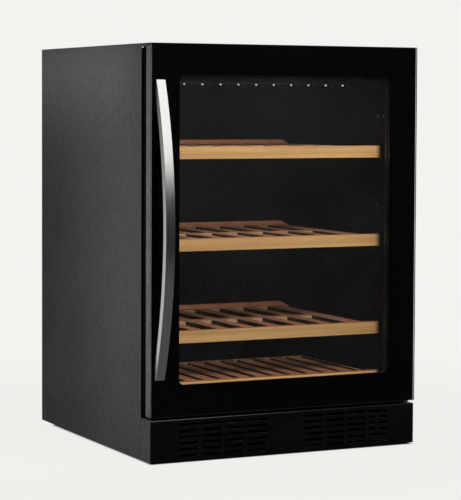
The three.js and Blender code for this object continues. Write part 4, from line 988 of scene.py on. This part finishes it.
# %% Plinth grille
plinth = merged_copy("plinth_grille")
low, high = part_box("plinth_grille")
RIM = 5 * MM                      # plain edge above and below the vents
slot_corners = sharp_edges(plinth, along=1, where=lambda place: (
    place.y < low.y + 3 * MM and abs(place.x) < high.x - 20 * MM and low.z + RIM < place.z < high.z - RIM))
bevel(plinth, slot_corners, 2.3, 3)
top_edge = sharp_edges(plinth, along=0, where=lambda place: place.z > high.z - MM and place.y < low.y + MM)
bevel(plinth, top_edge, 1.1, 2)
lips = sharp_edges(plinth, along=0, where=lambda place: (
    place.y < low.y + 0.2 * MM and low.z + RIM < place.z < high.z - RIM))
bevel(plinth, lips, 0.9, 2)
bevel(plinth, sharp_edges(plinth, 50), 0.45, 2)
GLINT_END = 6 * MM                 # the left end of the top, which carries the painted highlight
split(plinth, (low.x + GLINT_END, 0, 0), (1, 0, 0))
painted_where(plinth, 1, lambda normal, place: abs(place.x) > high.x - 2.1 * MM and place.y > low.y + MM)
# Painted highlights: the vents' lower lips, and the top edge with the top's left end, paler at the left and
# fading to the right.
painted_where(plinth, 2, lambda normal, place: normal.y < -0.2 and normal.z > 0.2)
painted_where(plinth, 3, lambda normal, place: place.z > high.z - 2 * MM and normal.z > 0.2
              and (place.y < low.y + 2 * MM or place.x < low.x + GLINT_END))
in_place_of("plinth_grille", plinth, [VENT_PLASTIC, GREY_PAINT, GLINT_PLASTIC, PLINTH_EDGE_GLINT])
print("vent corners rounded:", len(slot_corners))

# %% [markdown]
# ## The back
#
# The rear panel is thin plated sheet, stiffened by a pressed bead that runs round it. The bead is a ring of
# faces raised from the sheet. The cover below it is a perforated sheet held by screws, and its vents have
# round ends because a round-nosed punch made them.

# %% Rear panel and cover
PRESSING = 0.5                  # the sheet lies this far in from the beads and screw heads
low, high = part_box("rear_panel")
panel = bmesh.new()
block(panel, low, (high.x, high.y - PRESSING * MM, high.z))
back = [face for face in panel.faces if face.normal.y > 0.9]
bmesh.ops.inset_region(panel, faces=back, thickness=38 * MM, use_even_offset=True)
bead = bmesh.ops.inset_region(panel, faces=back, thickness=11 * MM, use_even_offset=True)["faces"]
lifted = bmesh.ops.extrude_face_region(panel, geom=bead)["geom"]
bmesh.ops.translate(panel, vec=(0, 0.9 * PRESSING * MM, 0),
                    verts=[part for part in lifted if isinstance(part, bmesh.types.BMVert)])
bmesh.ops.delete(panel, geom=[face for face in bead if face.is_valid], context="FACES")
outward(panel)
bevel(panel, sharp_edges(panel), 0.2, 2)
in_place_of("rear_panel", panel, ZINC)
back_y = high.y - 1.2 * PRESSING * MM
screws("rear_panel", [(x, back_y, z) for x in (-0.282, 0.0, 0.282) for z in (0.192, 0.804)]
       + [(x, back_y, z) for x in (-0.282, 0.282) for z in (0.395, 0.6)], "Y")

cover = merged_copy("rear_cover")
low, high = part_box("rear_cover")
for vert in cover.verts:
    if vert.co.y > high.y - 0.1 * MM:
        vert.co.y -= PRESSING * MM
vents = lambda place: place.x < 0 and abs(place.x) < high.x - 20 * MM
bevel(cover, sharp_edges(cover, along=1, where=vents), 2.9, 3)
bevel(cover, sharp_edges(cover, 50), 0.15, 1)
in_place_of("rear_cover", cover, ZINC)
screws("rear_cover", [(x, back_y, z) for x in (-0.285, 0.0, 0.285) for z in (0.022, 0.165)], "Y")

# %% Mains inlet
softened("power_inlet", "black_plastic", CAP_PLASTIC, 0.6)
low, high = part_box("power_inlet")
middle = (low + high) / 2
pins = bmesh.new()
for across, up in ((-7, 1.5), (7, 1.5), (0, -2.5)):
    block(pins, (middle.x + (across - 1) * MM, high.y - 15.8 * MM, middle.z + (up - 2) * MM),
          (middle.x + (across + 1) * MM, high.y - 4 * MM, middle.z + (up + 2) * MM))
bevel(pins, sharp_edges(pins), 0.3, 2)
finished_piece(pins, "inlet_pins", "power_inlet", ZINC)

# %% [markdown]
# ## Base, feet and machine parts
#
# Each foot is turned: a soft pad with a rounded rim and a stud whose thread is a stack of small ridges.
# The compressor is two deep-drawn cups welded at a flange, so its shell is one spun profile. Its pipes are
# short copper bends. Fan blades are twisted, steep near the hub and flatter at the tip.

# %% Base and feet
pan = eased("base_pan", 0.5)
# Only the pan's underside shows its zinc; the rest is near-black shadow plastic, painted shade in the dark
# behind the vents.
painted_where(pan, 1, lambda normal, place: normal.z < -0.5)
in_place_of("base_pan", pan, [SHADOW_PLASTIC, ZINC])

PAD = [(0, 0), (13.4, 0), (14.7, 0.8), (15, 2), (14.8, 3.6), (13.6, 4.7), (7, 4.9), (5.4, 6.4), (4, 6.6)]
PAD_HEIGHT = 7
THREAD_PITCH = 1.5
for name in ("front_left_foot", "front_right_foot", "rear_left_foot", "rear_right_foot"):
    low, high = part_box(name)
    middle = (low + high) / 2
    top = (high.z - low.z) / MM
    profile = PAD[:]
    for ridge in range(int((top - PAD_HEIGHT - THREAD_PITCH) / THREAD_PITCH)):
        height = PAD_HEIGHT + ridge * THREAD_PITCH
        profile += [(3.45, height + THREAD_PITCH / 2), (4, height + THREAD_PITCH)]
    profile += [(3.2, top - 0.6), (2.6, top), (0, top)]
    foot = bmesh.new()
    lathe(foot, profile, (middle.x, middle.y, low.z), "Z", 24)
    painted_where(foot, 1, lambda normal, place: place.z > low.z + PAD_HEIGHT * MM)
    in_place_of(name, foot, [CAP_PLASTIC, ZINC])
print("base and feet done")

# %% Compressor
low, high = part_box("compressor")
middle = (low + high) / 2
shell = bmesh.new()
lathe(shell, [(0, 0), (50, 0), (58, 3), (64.5, 12), (66, 22), (66, 62), (67.9, 63), (67.9, 67), (66, 68),
              (65.6, 80), (62, 97), (55.5, 113), (45, 124), (30, 130), (12, 132), (0, 132)],
      (middle.x, middle.y, low.z), "Z", 56)
terminal = block(shell, low + Vector((3, 4, 30)) * MM, low + Vector((34, 36, 74)) * MM)
bevel(shell, [edge for edge in shell.edges if all(vert in terminal for vert in edge.verts)], 2.0, 3)
outward(shell)
in_place_of("compressor", shell, SHELL_PAINT)
pipes = bmesh.new()
for side, lift in ((1, 42), (1, 84), (-1, 84)):
    start = Vector((middle.x + 40 * MM, middle.y + side * 40 * MM, low.z + lift * MM))
    corner = Vector((high.x - 5 * MM, middle.y + side * 60 * MM, start.z))
    pipe(pipes, rounded_path([start, corner, corner + Vector((0, 0, 40 * MM))], 7), 3.2, 12)
outward(pipes)
finished_piece(pipes, "compressor_pipes", "compressor", COPPER)


# %% Fans
def fan_rotor(name, centre, radius, hub=13, blades=5):
    """A moulded rotor about the Y axis; centre gives x and z."""
    low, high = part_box(name)
    bm = bmesh.new()
    depth = (high.y - low.y) / MM
    lathe(bm, [(0, 0), (hub - 3, 0), (hub - 0.6, 0.8), (hub, 2.4), (hub, depth), (hub - 2, depth),
               (hub - 2.4, 3), (0, 3)], (centre.x, low.y, centre.z), "Y", 36)
    for blade in range(blades):
        rows = []
        for step in range(7):
            share = step / 6
            reach = (hub - 1 + (radius - 1 - hub) * share) * MM
            chord = (13 + 6 * share) * MM
            pitch = math.radians(40 - 15 * share)
            row = []
            for part in range(6):
                along = (part / 5 - 0.5) * chord
                turn = 2 * math.pi * blade / blades + along * math.cos(pitch) / reach
                row.append(bm.verts.new((centre.x + reach * math.cos(turn),
                                         (low.y + high.y) / 2 + along * math.sin(pitch) * 0.9,
                                         centre.z + reach * math.sin(turn))))
            rows.append(row)
        faces = [bm.faces.new((a, b, c, d)) for first, second in zip(rows, rows[1:])
                 for a, b, c, d in zip(first, first[1:], second[1:], second)]
        bmesh.ops.solidify(bm, geom=faces, thickness=1.1 * MM)
    outward(bm)
    in_place_of(name, bm, CAP_PLASTIC)


fan_rotor("evaporator_fan", fan_centre, 45.5)
fan_rotor("condenser_fan", sum(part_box("condenser_fan_shroud"), Vector()) / 2, 28.8)

# %% The other parts behind and below
for name, slot, material, *rounding in (
        ("condenser_fan_shroud", "black_plastic", CAP_PLASTIC, 0.8),
        ("compressor_mount", "zinc_steel", ZINC, 0.6),
        ("drip_tray", "black_plastic", TRAY_PLASTIC, 1.0),
        ("control_box", "black_plastic", CAP_PLASTIC, 2.0),
        ("filter_dryer", "copper", COPPER, 0.8),
        ("upper_hinge", "zinc_steel", ZINC, 0.5),
        ("lower_hinge", "zinc_steel", ZINC, 0.5),
        ("evaporator_fan_motor", "black_plastic", CAP_PLASTIC, 0.8),
        ("evaporator", "aluminium", ALUMINIUM, 0.15, 1, 50),
        # The condenser's coil is sprayed black, and its near-black shadow plastic is also painted shade
        # behind the vents.
        ("condenser", "aluminium", SHADOW_PLASTIC, 0.15, 1, 50)):
    softened(name, slot, material, *rounding)
low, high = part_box("upper_hinge")
screws("upper_hinge", [((low.x + high.x) / 2, low.y + depth * MM, high.z) for depth in (10, 21)], "Z", 0.9)

# A small pale stop at the frame's upper left corner, which the closing door meets.
STOP_PLACE = (-0.2949, -0.2212, 0.8123)
stop = bmesh.new()
lathe(stop, [(0, 0), (1.4, 0), (1.4, -4.7), (1.0, -5.3), (0, -5.3)], STOP_PLACE, "Y", 16)
finished_piece(stop, "door_stop", "front_frame", TRAY_PLASTIC)
print("machine parts done")
